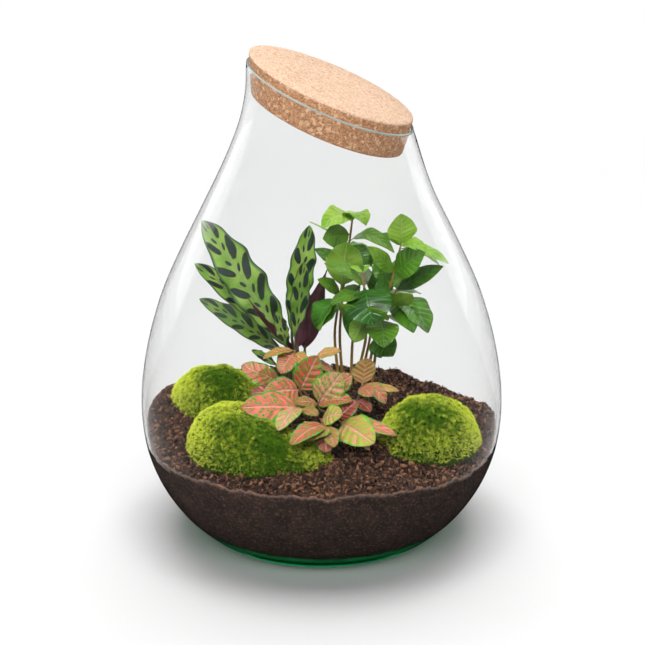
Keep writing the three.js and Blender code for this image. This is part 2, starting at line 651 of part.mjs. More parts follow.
function tubeSolid(points, radius) {
  const shape = new THREE.Shape();
  for (let i = 0; i < STEM_SIDES; i += 1) {
    const angle = (2 * Math.PI * i) / STEM_SIDES;
    const [x, y] = [radius * Math.cos(angle), radius * Math.sin(angle)];
    if (i === 0) {
      shape.moveTo(x, y);
    } else {
      shape.lineTo(x, y);
    }
  }
  const course = { steps: points.length - 1, extrudePath: new PointCourse(points) };
  return toSolid(new THREE.ExtrudeGeometry(shape, { ...course, bevelEnabled: false }));
}

// The straight foot of a stem: its lower end in the soil, and where it starts to bend above it
function footOf([x, y]) {
  const foot = new THREE.Vector3(x, y, soilHeight(x, y) - ROOT_DEPTH);
  return { foot, start: foot.clone().setZ(foot.z + ROOT_DEPTH + FOOT_RISE) };
}

const holes = [];

// The hole that a stem's foot stands in, as straight as the foot and a little wider
function cutHole(foot, radius) {
  const low = foot.clone().setZ(foot.z - FIT_GAP);
  const high = foot.clone().setZ(foot.z + ROOT_DEPTH + FOOT_RISE);
  holes.push(tubeSolid([low, high], radius + HOLE_GAP));
}

// A stem upright through the soil, then smooth through its points, with its leaves
function leafyStem(kind, { stem, leaves }, radius, rows) {
  const [root, ...rest] = stem;
  const { foot, start } = footOf(root);
  const through = [start, ...rest.map((p) => new THREE.Vector3(...p))];
  const curve = new THREE.CatmullRomCurve3(through, false, 'catmullrom', 0.5);
  let solid = tubeSolid([foot, start, ...curve.getPoints(2 * rest.length).slice(1)], radius);
  cutHole(foot, radius);
  for (const leaf of leaves) {
    const blade = bladeGeometry(kind, curve.getPoint(leaf.at), leaf, rows);
    solid = solid.add(toSolid(blade.geometry));
  }
  return fromSolid(wholeBody(solid));
}

function calatheaLeaf(leaf) {
  const count = leaf.width > SMALL_CALATHEA_WIDTH ? CALATHEA_ROWS : SMALL_CALATHEA_ROWS;
  const rows = Array.from({ length: count }, (_, i) => i / (count - 1));
  const base = new THREE.Vector3(...leaf.base);
  const blade = bladeGeometry(leaf.kind ?? 'calathea', base, leaf, rows);
  const { foot, start } = footOf(leaf.root);
  const bend = base.clone().addScaledVector(blade.rib.getTangent(0), -base.distanceTo(start) / 4);
  const stalk = new THREE.QuadraticBezierCurve3(start, bend, blade.rib.getPoint(STALK_REACH));
  cutHole(foot, CALATHEA_STALK);
  const stem = tubeSolid([foot, ...stalk.getPoints(STALK_STEPS)], CALATHEA_STALK);
  return fromSolid(wholeBody(toSolid(blade.geometry).add(stem)));
}

const group = new THREE.Group();

function addPiece(name, geometry, color, roughness, extra = {}) {
  const material = new THREE.MeshStandardMaterial({ color, roughness, metalness: 0, ...extra });
  const mesh = new THREE.Mesh(geometry, material);
  mesh.name = name;
  group.add(mesh);
}

addPiece('glass_jar', jarGeometry(), COLOURS.glass, 0.03, { transparent: true, opacity: 0.3 });
addPiece('cork_stopper', corkGeometry(), COLOURS.cork, 0.9);
for (const leaf of CALATHEA) {
  addPiece(`calathea_leaf_${leaf.name}`, calatheaLeaf(leaf), COLOURS.calathea, 0.4);
}
for (const plant of COFFEE) {
  const geometry = leafyStem('coffee', plant, COFFEE_STEM, COFFEE_ROWS);
  addPiece(`coffee_seedling_${plant.name}`, geometry, COLOURS.coffee, 0.3);
}
for (const plant of FITTONIA) {
  const geometry = leafyStem('fittonia', plant, FITTONIA_STEM, FITTONIA_ROWS);
  addPiece(`fittonia_stem_${plant.name}`, geometry, COLOURS.fittonia, 0.55);
}

const soil = holes.reduce((solid, hole) => solid.subtract(hole), toSolid(soilGeometry(0)));
addPiece('soil', fromSolid(wholeBody(soil)), COLOURS.soil, 0.95);

const mossSeat = toSolid(soilGeometry(FIT_GAP));
for (const cushion of MOSS) {
  const solid = toSolid(mossGeometry(cushion)).subtract(mossSeat);
  addPiece(cushion.name, fromSolid(wholeBody(solid)), COLOURS.moss, 0.9);
}

export default group;
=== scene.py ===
# Looks of the glass plant terrarium: a clear jar with a cork stopper, peat soil, moss cushions,
# a rattlesnake calathea, young coffee plants and a pink nerve plant.
# Shapes are in millimetres, in the same frame as the CAD, and the room is in metres.
import random
from math import atan2, cos, exp, hypot, pi, sin, sqrt

import bmesh
import bpy
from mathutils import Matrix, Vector, noise


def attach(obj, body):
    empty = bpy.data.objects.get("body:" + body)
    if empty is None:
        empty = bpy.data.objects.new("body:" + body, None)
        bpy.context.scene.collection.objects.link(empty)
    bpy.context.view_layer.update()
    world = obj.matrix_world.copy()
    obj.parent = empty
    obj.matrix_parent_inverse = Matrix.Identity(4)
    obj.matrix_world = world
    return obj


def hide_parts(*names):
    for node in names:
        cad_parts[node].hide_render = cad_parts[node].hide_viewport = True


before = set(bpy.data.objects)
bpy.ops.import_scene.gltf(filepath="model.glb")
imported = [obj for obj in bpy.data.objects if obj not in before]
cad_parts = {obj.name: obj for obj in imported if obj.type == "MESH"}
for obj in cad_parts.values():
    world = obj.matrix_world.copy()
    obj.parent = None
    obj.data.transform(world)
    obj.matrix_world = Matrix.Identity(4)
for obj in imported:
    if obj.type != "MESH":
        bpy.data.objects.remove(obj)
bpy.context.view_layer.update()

MM = 0.001
SEED = 7
TURN = 2 * pi
WHITE = (1, 1, 1, 1)

# The camera, found from the ellipse of the rim and the line of the soil
CAMERA_PLACE = (0.7, -1450, 692)
CAMERA_AIM = (0.7, 0, 158)
CAMERA_LENS = 118.3
CAMERA_SENSOR = 36

# The room, in metres, with its lamps as (name, place, size, watts)
FLOOR_REACH = 7
FLOOR_PALE = 0.4
FLOOR_WHITE = 1.2
WALL_HEIGHT = 5
WALL_SIDES = 48
FLOOR_LEVEL = -0.0005
WALL_FOOT = -0.001
WORLD_LIGHT = 0.4
WORLD_LIGHT_BEHIND_CAMERA = 0.03
SOIL_MIDDLE = (0, 0, 0.05)
JAR_MIDDLE = (0, 0, 0.16)
OVERHEAD_LIGHTS = [
    ("overhead", (0, 0.3, 2.2), (1.8, 1.8), 44),
    ("background", (0, 3.4, 2.2), (3, 4), 42),
    ("front_fill", (0, -2.2, 2), (3, 1.6), 46),
]
SOIL_LIGHTS = [
    ("low_left", (-1.5, -0.7, 0.25), (0.7, 0.5), 5),
    ("low_right", (1.6, -0.3, 0.2), (0.6, 0.4), 2),
]
JAR_LIGHTS = [
    ("key", (-0.4, -1.3, 1.6), (0.8, 0.6), 27),
    ("left_box", (-1.25, 1.15, 0.85), (1, 1.5), 6),
    ("right_box", (1.25, 1.15, 0.85), (1, 1.5), 7),
]
GLASS_LIGHTS = [
    ("left_card", (-1.25, 1.15, 0.7), (1, 1.7), 3.4),
    ("right_card", (1.25, 1.15, 0.7), (1, 1.7), 3.4),
]

# The jar: its body as (radius, height), and its neck as (height, half its width)
JAR_SEGMENTS = 128
LEVEL_STEPS = 8
GLASS_WALL = 2.2
FLOOR_HEIGHT = 8
FOOT_HEIGHT = 8
BODY = [
    (77, 0), (82.5, 1.2), (89, 4.6), (97.5, 12), (107.6, 22.5), (118.6, 39), (125.8, 55),
    (130.4, 72), (132.5, 95), (130.8, 121), (124.8, 152), (114.8, 184), (101, 215), (83.8, 250),
]
NECK = [
    (250, 83.8), (265, 76.5), (280, 69.4), (295, 63.2), (310, 57.9), (325, 54.3), (340, 52.6),
    (360, 52.6),
]
NECK_START = 250
RIM_LEFT_HEIGHT = 352.2
RIM_RIGHT_HEIGHT = 303.4
RIM_RIGHT_FLARE = 4.6
NECK_STEPS = 5
LIP_HEIGHT = 1.2
LIP_STEPS = 8
GLASS_REFRACTION = 1.15
WET_GLASS_REFRACTION = 1.001

# The cork stopper
CORK_THICKNESS = 26
CORK_ABOVE_MOUTH = 8
CORK_TAPER = 0.19
CORK_LEAN = 0.28
CORK_EDGE = 1.2
CORK_SIDE_STEPS = 12
FIT_GAP = 0.35

# The soil with its mounds as (x, y, height, spread), its crumbs and its fibres
SOIL_LEVEL = 77.5
SOIL_RELIEF = 1.2
SOIL_MOUNDS = [
    (8, 38, 14, 45), (-118, 25, 11, 34), (100, -75, -6, 30), (95, 85, -6, 34),
    (-118, -50, -6, 28), (128, 5, 7, 22), (0, 120, -5, 45),
]
SOIL_SEGMENTS = 360
SOIL_SIDE_ROWS = 16
SOIL_ROWS = 84
SOIL_EDGE = 126
SOIL_EDGE_RELIEF = 0.8
SOIL_CRUMBS = 13000
SOIL_REACH = 128
CRUMB_LEAST = 0.8
CRUMB_SPREAD = 2.6
SOIL_FIBRES = 260
FIBRE_REACH = 121
FIBRE_RADIUS = 0.16
FIBRE_LIFT = 1.1
FIBRE_LENGTHS = (2, 7)
FIBRE_RISES = (-1, 1.5)

# Moss cushions: centre, the height they sit at, rise, how much lower they get towards +x, their
# patch of painted shade as (x and y from the centre, reach), and their radii all round
MOSS = {
    "moss_front_left": ((-48, -58), 79, 27, 0.011, (8, -24, 40),
                        (54, 27, 31, 46, 54, 52, 46, 42, 38, 38, 41, 50)),
    "moss_back_left": ((-80, 29), 83, 26, 0, (6, -14, 26),
                       (33, 31, 28, 27, 29, 32, 33, 33, 33, 32, 33, 34)),
    "moss_right": ((79, -31), 77, 31, 0, (-4, -16, 30),
                   (35, 34, 33, 33, 34, 35, 37, 37, 37, 38, 37, 36)),
}
MOSS_ROWS = 24
MOSS_SEGMENTS = 72
MOSS_TUFTS = 15000
TUFT_BLADES = 5
TUFT_WIDTH = 0.6
TUFT_LEANS = (0.2, 1)
TUFT_LENGTHS = (1.5, 2.8)
BLADE_UV = [(0, 0), (1, 0), (0.5, 1)]

# The leaves and stems
BLOTCH_SPACING = 21
ROOT_DEPTH = 14
FOOT_RISE = 3
BLADE_THICKNESS = 0.5
STEM_SIDES = 10
STEM_UV_LENGTH = 40
CALATHEA_STALK = 1.3
COFFEE_STEM = 1.2
FITTONIA_STEM = 1.1

# Calathea leaves: root in the soil, base and tip of the blade, width, arch, the way its upper
# side looks, kind, and its painted shade, which darkens it
CALATHEA = {
    "big_left": (
        (-24, 54), (-25, 47, 122), (-86, 5, 234), 31, 1, (0.35, -0.85, 0.4), "calathea", 0),
    "mid_left": ((-29, 60), (-27, 60, 123), (-94, 34, 192), 19, 4, (0.3, -0.8, 0.5), "calathea", 0),
    "low_left": (
        (-32, 45), (-30, 38, 120), (-88, -8, 179), 17, 4, (0.2, -0.75, 0.6), "calathea", 0.45),
    "rolled": ((-20, 37), (-22, 29, 125), (-54, 8, 175), 13, -3, (0.5, 0.6, 0.6), "rolled", 0),
    "tall_centre": (
        (-15, 64), (-23, 64, 128), (-9, 60, 213), 20, -2, (0.15, -1, 0.2), "calathea", 0),
    "front_centre": (
        (-9, 52), (-20, 50, 126), (-13, 43, 190), 14, -3, (0, -1, 0.15), "calathea", 0.35),
    "turned_right": ((-5, 58), (-13, 54, 117), (4, 48, 182), 19, 3, (-0.1, 0.95, 0.2), "rolled", 0),
    "turned_small": ((-9, 46), (-18, 44, 122), (-13, 40, 148), 8, 0, (0.3, 0.9, 0.2), "rolled", 0),
    "small_front": (
        (-27, 30), (-26, 20, 131), (-33, 10, 163), 10, 1, (0.2, -0.9, 0.4), "calathea", 0.3),
    "low_small": ((-37, 36), (-34, 30, 113), (-52, 22, 128), 7, 1, (0.1, -0.7, 0.7), "calathea", 0),
    "back_left": (
        (-27, 71), (-27, 76, 116), (-67, 85, 175), 20, 3, (0.4, -0.4, 0.8), "calathea", 0),
    "back_centre": (
        (-14, 75), (-20, 80, 118), (-17, 100, 179), 18, 3, (0.1, -0.6, 0.8), "calathea", 0),
}

# Leafy stems: the points of the stem, and its leaves as (place along the stem, tip, width, arch,
# face, colour). A coffee leaf's colour is its youth with painted light, from 0 for dark green,
# old and in painted shade, to 1 for lime, young and lit.
COFFEE = {
    "left": ([(13, 58), (10, 56, 125), (12, 54, 148), (15, 50, 168)], [
        (0.98, (19, 44, 205), 24, 2, (0.1, 0.9, 0.35), 0.45),
        (0.9, (-3, 38, 178), 10, 2, (0.1, -0.7, 0.7), 0.3),
        (0.82, (-4, 40, 138), 20, 5, (-0.6, -0.6, 0.5), 0.08),
        (0.74, (-1, 32, 140), 18, 3, (0.2, 0.7, 0.6), 0.35),
        (0.85, (29, 44, 170), 9, 1, (-0.2, -0.6, 0.7), 0.15)]),
    "tall": ([(16, 67), (14, 69, 124), (17, 67, 165), (21, 64, 199), (23, 61, 217)], [
        (1, (0, 48, 215), 18, 8, (-0.2, -0.5, 0.9), 0.95),
        (1, (33, 48, 217), 15, 7, (0.3, -0.4, 1), 0.9),
        (1, (26, 80, 217), 12, 2, (0, -0.2, 1), 0.9),
        (0.98, (17, 50, 226), 8, 1, (0.2, 0.7, 0.5), 0.8),
        (0.82, (1, 50, 206), 16, 0, (-0.1, -0.9, 0.3), 0.35),
        (0.75, (-9, 76, 211), 6, 0, (-0.3, 0.3, 0.9), 0.7),
        (0.75, (54, 44, 197), 13, 11, (0.1, -0.45, 1), 0.4),
        (0.72, (35, 56, 184), 14, 1, (0.2, -0.9, 0.3), 0.15),
        (0.6, (-5, 68, 192), 9, 2, (-0.2, -0.8, 0.5), 0.2),
        (0.68, (40, 92, 183), 14, 3, (0.1, -0.3, 1), 0.3),
        (0.55, (4, 98, 178), 17, 4, (0, -0.2, 1), 0.3)]),
    "back": ([(23, 76), (24, 80, 114), (28, 82, 148), (31, 84, 176)], [
        (0.98, (27, 94, 188), 15, 1, (0.1, -0.8, 0.5), 0.4),
        (0.98, (48, 97, 177), 17, 3, (-0.1, -0.7, 0.6), 0.3),
        (0.92, (13, 110, 167), 17, 3, (0, -0.2, 1), 0.2),
        (0.64, (24, 42, 127), 18, 4, (0, -0.9, 0.4), 0.04),
        (0.5, (11, 112, 127), 18, 5, (0, 0.3, 1), 0.1),
        (0.85, (38, 52, 178), 13, 1, (0, -0.9, 0.4), 0.25)]),
    "front": ([(26, 50), (33, 40, 129), (33, 37, 149), (32, 36, 167), (31, 36, 185)], [
        (0.98, (21, 32, 190), 5, 1, (0, -0.5, 1), 1),
        (0.98, (36, 32, 191), 5, 1, (0, -0.5, 1), 1),
        (0.83, (2, 28, 194), 12, 5, (0, -0.5, 1), 0.4),
        (0.5, (13, 22, 165), 15, -2, (0, 0.6, 0.8), 0.35),
        (0.5, (46, 18, 160), 20, -1, (0, 0.9, 0.4), 0.35),
        (0.82, (38, 20, 149), 30, 4, (0, -1, 0.3), 0),
        (0.5, (24, 28, 132), 14, 1, (0, 0.9, 0.3), 0.3),
        (0.74, (7, 24, 164), 13, 3, (0, -0.25, 1), 0.3)]),
    "back_right": ([(31, 72), (37, 78, 115), (42, 86, 145)], [
        (0.98, (50, 98, 170), 18, 3, (0, -0.7, 0.7), 0.2),
        (0.98, (61, 100, 146), 19, 4, (0, 0, 1), 0.2),
        (0.95, (35, 111, 138), 17, 4, (0, 0.2, 1), 0.1),
        (0.76, (60, 103, 120), 18, 4, (0, 0.3, 1), 0.1)]),
    "right_tall": ([(34, 56), (41, 52, 129), (48, 50, 155), (54, 48, 180), (59, 48, 201)], [
        (1, (59, 48, 226), 20, 1, (0.35, -0.9, 0.35), 0.8),
        (1, (45, 44, 212), 6, 2, (-0.2, -0.5, 0.8), 0.3),
        (1, (77, 36, 200), 12, 5, (0.1, -0.4, 1), 0.75),
        (0.97, (94, 34, 192), 12, 5, (0.2, -0.3, 1), 0.6),
        (0.95, (90, 55, 181), 9, 6, (0.2, -0.2, 1), 0.35),
        (0.74, (76, 30, 202), 18, 2, (-0.2, -0.8, 0.5), 0.2),
        (0.74, (34, 34, 205), 11, 2, (0.4, -0.8, 0.4), 0.5),
        (0.68, (40, 54, 190), 14, 1, (-0.1, -0.9, 0.3), 0.2),
        (0.62, (39, 38, 170), 17, 2, (-0.2, -0.9, 0.3), 0.1),
        (0.5, (67, 25, 171), 16, -2, (0, 0.9, 0.35), 0.35),
        (0.6, (70, 80, 184), 15, 4, (0, -0.2, 1), 0.3),
        (0.36, (46, 22, 130), 21, 4, (0.1, -0.9, 0.4), 0.3),
        (0.23, (54, 38, 117), 18, 2, (0.2, -0.8, 0.5), 0.12),
        (0.23, (45, 42, 114), 11, 2, (-0.2, -0.8, 0.5), 0.2)]),
    "right_low": ([(39, 64), (42, 62, 115), (46, 61, 136), (54, 63, 152), (57, 68, 160)], [
        (1, (91, 46, 186), 12, 3, (0, -0.8, 0.5), 0.15),
        (0.78, (69, 35, 137), 18, 5, (0.2, -0.8, 0.6), 0.18),
        (0.85, (80, 40, 135), 24, 6, (0.6, -0.6, 0.5), 0.22),
        (0.95, (76, 86, 150), 14, 2, (0, -0.2, 1), 0.3),
        (0.98, (63, 94, 162), 17, 3, (0, -0.2, 1), 0.2)]),
}

# A nerve plant leaf's colour is a name in FITTONIA_COLOURS
FITTONIA = {
    "left_back": ([(-13, 4), (-28, -4, 103), (-32, 1, 109)], [
        (1, (-59, 6, 122), 17, 2, (-0.1, -0.7, 0.7), "salmon"),
        (0.95, (-46, -14, 124), 14, 3, (0, -0.7, 0.7), "olive"),
        (0.52, (-52, -12, 107), 14, 2, (0, -0.6, 0.8), "maroon")]),
    "back": ([(-8, 10), (-21, 10, 115), (-20, 12, 132)], [
        (0.98, (-43, 4, 128), 10, 3, (0, -0.2, 1), "amber"),
        (0.95, (-30, 0, 118), 16, 2, (-0.3, -0.8, 0.4), "salmon"),
        (0.92, (-11, 2, 125), 11, 1, (0.3, -0.8, 0.4), "amber")]),
    "upright": ([(-2, 2), (-16, -8, 108), (-4, -2, 133)], [
        (0.48, (-3, -16, 138), 21, 1, (-0.1, -0.9, 0.35), "deep"),
        (0.5, (-42, -22, 111), 21, 3, (0, -0.8, 0.6), "salmon"),
        (0.98, (14, -6, 138), 12, 1, (0, -0.3, 1), "amber"),
        (0.9, (9, 4, 118), 10, 1, (0, -0.5, 0.9), "salmon")]),
    "centre": ([(4, -6), (-3, -16, 97), (-1, -20, 105)], [
        (0.75, (14, -30, 130), 25, 1, (0.1, -0.8, 0.6), "pale"),
        (0.95, (22, -20, 125), 17, 2, (0.1, -0.8, 0.6), "salmon"),
        (0.75, (-21, -28, 106), 11, 2, (0, -0.5, 1), "olive"),
        (0.75, (22, -36, 111), 15, 3, (0, -0.5, 0.9), "deep")]),
    "front_left": ([(-11, -12), (-13, -28, 100), (-16, -36, 106)], [
        (0.9, (-57, -54, 113), 24, 2, (0, -0.7, 0.7), "salmon"),
        (0.95, (-30, -74, 104), 17, 3, (-0.3, -0.6, 0.7), "pale"),
        (0.8, (-3, -52, 106), 11, 1, (0.1, -0.5, 0.9), "olive")]),
    "front": ([(2, -18), (0, -44, 99), (3, -54, 99)], [
        (0.45, (15, -54, 108), 18, 2, (0, -0.6, 0.8), "lime"),
        (0.98, (-12, -78, 98), 21, 3, (-0.2, -0.6, 0.7), "olive"),
        (0.95, (-21, -90, 100), 17, 4, (-0.2, -0.5, 0.8), "deep"),
        (1, (9, -78, 93), 13, 2, (0.1, -0.7, 0.6), "olive"),
        (1, (3, -76, 88), 17, 2, (0, -0.6, 0.7), "maroon")]),
    "front_right": ([(11, -13), (11, -32, 96), (15, -40, 95)], [
        (0.95, (37, -74, 94), 25, 3, (0, -0.8, 0.55), "lime"),
        (0.85, (46, -54, 93), 16, 3, (0, -0.5, 0.9), "salmon"),
        (0.9, (53, -62, 95), 13, 4, (0, -0.4, 1), "salmon"),
        (1, (34, -74, 89), 10, 2, (0, -0.5, 0.8), "maroon"),
        (0.65, (26, -32, 109), 14, 2, (0, -0.6, 0.8), "maroon")]),
    "right_back": ([(14, 2), (25, -6, 98), (30, -4, 111)], [
        (0.98, (33, -8, 133), 18, 1, (-0.2, 0.9, 0.3), "amber"),
        (0.95, (37, -20, 108), 13, 1, (0, -0.7, 0.6), "salmon"),
        (0.98, (47, -12, 99), 14, 5, (0.3, -0.5, 0.8), "salmon"),
        (0.9, (57, -2, 105), 9, 2, (0, -0.4, 1), "amber"),
        (0.55, (36, -20, 96), 11, 2, (0, -0.5, 0.8), "maroon"),
        (0.98, (33, 24, 106), 13, 3, (0, 0, 1), "salmon")]),
}

# For each kind of nerve plant leaf: its veins, the ground between them and that ground's share
FITTONIA_COLOURS = {
    "salmon": ((0.68, 0.13, 0.1), (0.07, 0.32, 0.01), 0.48),
    "deep": ((0.6, 0.035, 0.055), (0.06, 0.32, 0.01), 0.58),
    "pale": ((0.7, 0.31, 0.22), (0.18, 0.42, 0.02), 0.56),
    "lime": ((0.66, 0.24, 0.14), (0.26, 0.48, 0.015), 0.68),
    "olive": ((0.54, 0.15, 0.08), (0.19, 0.26, 0.01), 0.66),
    "amber": ((0.68, 0.26, 0.08), (0.3, 0.36, 0.02), 0.56),
    "maroon": ((0.38, 0.025, 0.04), (0.05, 0.15, 0.01), 0.42),
}


def bulge(s, skew, power):
    return max(0, sin(pi * s ** skew)) ** power


def petioled(s, stalk, shape):
    if s < stalk:
        return stalk
    return max(stalk, shape((s - stalk) / (1 - stalk)))


# Kinds of blade: fold, waves, their height, ripple of the outline, height of the quilts between
# the side veins, number of side veins, rows, columns, and outline
KINDS = {
    "calathea": (0.12, 4.5, 0.055, 0.07, 0, 8, 72, 17,
                 lambda s: max(0.05, bulge(s, 1.1, 0.6))),
    "rolled": (0.5, 2.5, 0.05, 0.04, 0, 8, 60, 13,
               lambda s: max(0.05, bulge(s, 0.6, 1.3))),
    "coffee": (0.14, 2.5, 0.045, 0.015, 0.22, 8, 40, 13,
               lambda s: petioled(s, 0.07, lambda u: 1.18 * bulge(u, 0.9, 0.72))),
    "fittonia": (0.12, 2.5, 0.03, 0.03, 0.35, 6, 36, 13,
                 lambda s: petioled(s, 0.08, lambda u: bulge(u, 0.82, 0.55))),
}


def add_object(name, data):
    item = bpy.data.objects.new(name, data)
    bpy.context.scene.collection.objects.link(item)
    return item


def add_colours(data, name, colours):
    layer = data.color_attributes.new(name, "FLOAT_COLOR", "POINT")
    layer.data.foreach_set("color", [x for colour in colours for x in colour])


class Mesh:
    """Points with a colour each, and faces with a material and the UV of their corners."""

    def __init__(self):
        self.points = []
        self.colours = []
        self.faces = []
        self.uvs = []
        self.slots = []

    def add_points(self, points, colour):
        start = len(self.points)
        self.points.extend(points)
        self.colours.extend([colour] * len(points))
        return start

    def add_face(self, corners, uv, slot):
        self.faces.append(corners)
        self.uvs.append(uv)
        self.slots.append(slot)

    def add_grid(self, grid, uvs, slot, colour=WHITE, flip=False):
        width = len(grid[0])
        start = self.add_points([point for row in grid for point in row], colour)
        for i in range(len(grid) - 1):
            for j in range(width - 1):
                corners = [(i, j), (i, j + 1), (i + 1, j + 1), (i + 1, j)]
                if flip:
                    corners.reverse()
                self.add_face([start + a * width + b for a, b in corners],
                              [uvs[a][b] for a, b in corners], slot)

    def add_faces(self, points, faces, slot, colour, uv):
        """Faces that all have this UV at their corners."""
        start = self.add_points(points, colour)
        for face in faces:
            self.add_face([start + i for i in face], uv, slot)

    def build(self, name, paints, node):
        data = bpy.data.meshes.new(name)
        data.from_pydata([Vector(p) * MM for p in self.points], [], self.faces)
        layer = data.uv_layers.new(name="UVMap")
        layer.data.foreach_set("uv", [x for face in self.uvs for uv in face for x in uv])
        add_colours(data, "tint", self.colours)
        data.polygons.foreach_set("material_index", self.slots)
        data.polygons.foreach_set("use_smooth", [True] * len(self.faces))
        for paint in paints:
            data.materials.append(paint.material)
        data.update()
        piece = add_object(name, data)
        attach(piece, "root")
        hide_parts(node)
        return piece


def operation(name):
    return lambda value, *others: value.paint.math(name, value, *others)


class Value:
    """What comes out of a node. Arithmetic and the methods add nodes to its material."""

    def __init__(self, paint, socket):
        self.paint = paint
        self.socket = socket

    __add__ = operation("ADD")
    __sub__ = operation("SUBTRACT")
    __mul__ = operation("MULTIPLY")
    __truediv__ = operation("DIVIDE")
    __pow__ = operation("POWER")
    __abs__ = operation("ABSOLUTE")
    __gt__ = operation("GREATER_THAN")
    or_more = operation("MAXIMUM")
    fraction = operation("FRACT")
    root = operation("SQRT")

    def __rsub__(self, other):
        return self.paint.math("SUBTRACT", other, self)

    def part(self, index):
        """The x, y or z of a place, or the red, green or blue of a colour."""
        return self.paint.node("SeparateXYZ", {0: self}, index)

    def ramp(self, low, high, to_low=0, to_high=1):
        """A smooth step from to_low, where the value is low, to to_high, where it is high."""
        inputs = dict(enumerate((self, low, high, to_low, to_high)))
        return self.paint.node("MapRange", inputs, interpolation_type="SMOOTHSTEP")

    def fade(self, low, high):
        return self.ramp(low, high, 1, 0)

    def mix(self, a, b):
        """Colour a where the value is 0, and b where it is 1."""
        return self.paint.coats(a, (self, b))

    def noise(self, scale, detail=4, roughness=0.55):
        return self.paint.node("TexNoise", {
            "Vector": self, "Scale": scale, "Detail": detail, "Roughness": roughness})

    def cells(self, scale, output="Color", feature="F1", randomness=1):
        inputs = {"Vector": self, "Scale": scale, "Randomness": randomness}
        return self.paint.node("TexVoronoi", inputs, output, feature=feature)


class Nodes:
    """The nodes of a material or a world, built with short calls."""

    def __init__(self, tree):
        self.tree = tree

    def put(self, socket, value):
        if isinstance(value, Value):
            self.tree.links.new(value.socket, socket)
        else:
            socket.default_value = value

    def node(self, kind, inputs, output=0, **settings):
        """One output of a new node, whose inputs are given by number or name."""
        node = self.tree.nodes.new(f"ShaderNode{kind}")
        for key, value in settings.items():
            setattr(node, key, value)
        for key, value in inputs.items():
            self.put(node.inputs[key], value)
        return Value(self, node.outputs[output])

    def math(self, name, *values):
        return self.node("Math", dict(enumerate(values)), operation=name)

    def coats(self, colour, *layers):
        """The colour under layers of other colours, each with its share."""
        for share, over in layers:
            a, b = (c if isinstance(c, Value) else (*c, 1) for c in (colour, over))
            colour = self.node("Mix", {0: share, 6: a, 7: b}, 2, data_type="RGBA")
        return colour


class Paint(Nodes):
    """A material with a Principled shader."""

    def __init__(self, name, roughness=0.5, **constants):
        self.material = bpy.data.materials.new(name)
        self.material.use_nodes = True
        super().__init__(self.material.node_tree)
        self.inputs = self.tree.nodes["Principled BSDF"].inputs
        self.inputs["Roughness"].default_value = roughness
        for key, value in constants.items():
            self.inputs[key.replace("_", " ")].default_value = value

    def place(self):
        return self.node("TexCoord", {}, "Object")

    def uv(self, index):
        return self.node("TexCoord", {}, "UV").part(index)

    def tint(self, output="Alpha", name="tint"):
        return self.node("Attribute", {}, output, attribute_name=name)

    def join(self, x, y):
        return self.node("CombineXYZ", {0: x, 1: y})

    def colour(self, colour, *layers):
        self.put(self.inputs["Base Color"], self.coats(colour, *layers))

    def glow(self, colour):
        self.put(self.inputs["Emission Color"], colour)

    def bump(self, height, distance, strength=1):
        inputs = {"Strength": strength, "Distance": distance * MM, "Height": height}
        self.put(self.inputs["Normal"], self.node("Bump", inputs))


class LeafPaint(Paint):
    """A leaf's paint. It has the distance from the rib (0 to 1), the place along the leaf, that
    place along a slanting side vein, and the side of the rib (0 or 1)."""

    def __init__(self, name, slant, roughness, **constants):
        super().__init__(name, roughness, **constants)
        across = self.uv(0) * 2 - 1
        self.u = abs(across)
        self.s = self.uv(1)
        self.along = self.s - self.u * slant
        self.side = across > 0

    def vein_distance(self, count):
        """Distance from the nearest side vein, up to 0.5."""
        return abs((self.along * count).fraction() - 0.5)


def calathea_upper():
    """Dark slanting blotches and small dots between them, on lime green. The tint's red counts
    the blotches of one side, and its alpha is painted shade that darkens the leaf, which also
    has painted shade towards the base of the blade."""
    paint = LeafPaint("calathea_upper", 0.15, 0.3, Coat_Weight=0.3, Coat_Roughness=0.22)
    place, u = paint.place(), paint.u
    tone = place.noise(60)
    wobble = (place.noise(260) - 0.5) * 0.7
    shift = paint.along * (paint.tint("Color").part(0) * 20) + paint.side * 0.4
    length = paint.side * 0.1 + 0.23
    blotches = None
    for first, centre, reach, half in ((0, 0.53, 0.38, length), (0.5, 0.17, 0.12, 0.12)):
        d = ((shift + first).fraction() - 0.5) / half
        e = (u - centre) / reach
        shape = (d * d + e * e + wobble).fade(0.8, 1.1)
        blotches = shape if blotches is None else blotches.or_more(shape)
    fine = paint.vein_distance(50).fade(0, 0.3)
    rib = u.fade(0.012, 0.05)
    paint.colour(
        tone.ramp(0.35, 0.65).mix((0.17, 0.38, 0.03), (0.36, 0.56, 0.1)),
        (fine * 0.15, (0.09, 0.26, 0.02)),
        ((u + tone * 0.16).ramp(0.84, 1.06), (0.025, 0.11, 0.03)),
        (blotches, tone.mix((0.003, 0.016, 0.009), (0.014, 0.038, 0.026))),
        (rib * 0.8, (0.3, 0.42, 0.19)),
        (u.ramp(0.955, 0.985), (0.016, 0.04, 0.02)),
        # painted shade: the tint's alpha, and darker towards the base of the blade
        (paint.tint().or_more(paint.s.ramp(0.02, 0.22, 0.6, 0)), (0.014, 0.036, 0.014)))
    paint.bump(fine * 0.25 - rib, 0.5, 0.7)
    return paint


def calathea_under():
    paint = LeafPaint("calathea_under", 0.14, 0.45, Coat_Weight=0.15, Coat_Roughness=0.3)
    mottle = paint.place().noise(80).ramp(0.3, 0.7)
    fine = paint.vein_distance(40).fade(0, 0.3)
    paint.colour(
        mottle.mix((0.026, 0.005, 0.011), (0.1, 0.018, 0.036)),
        (fine * 0.35, (0.014, 0.003, 0.007)),
        (paint.u.fade(0.03, 0.09) * 0.6, (0.12, 0.03, 0.05)))
    paint.bump(fine, 0.25, 0.6)
    return paint


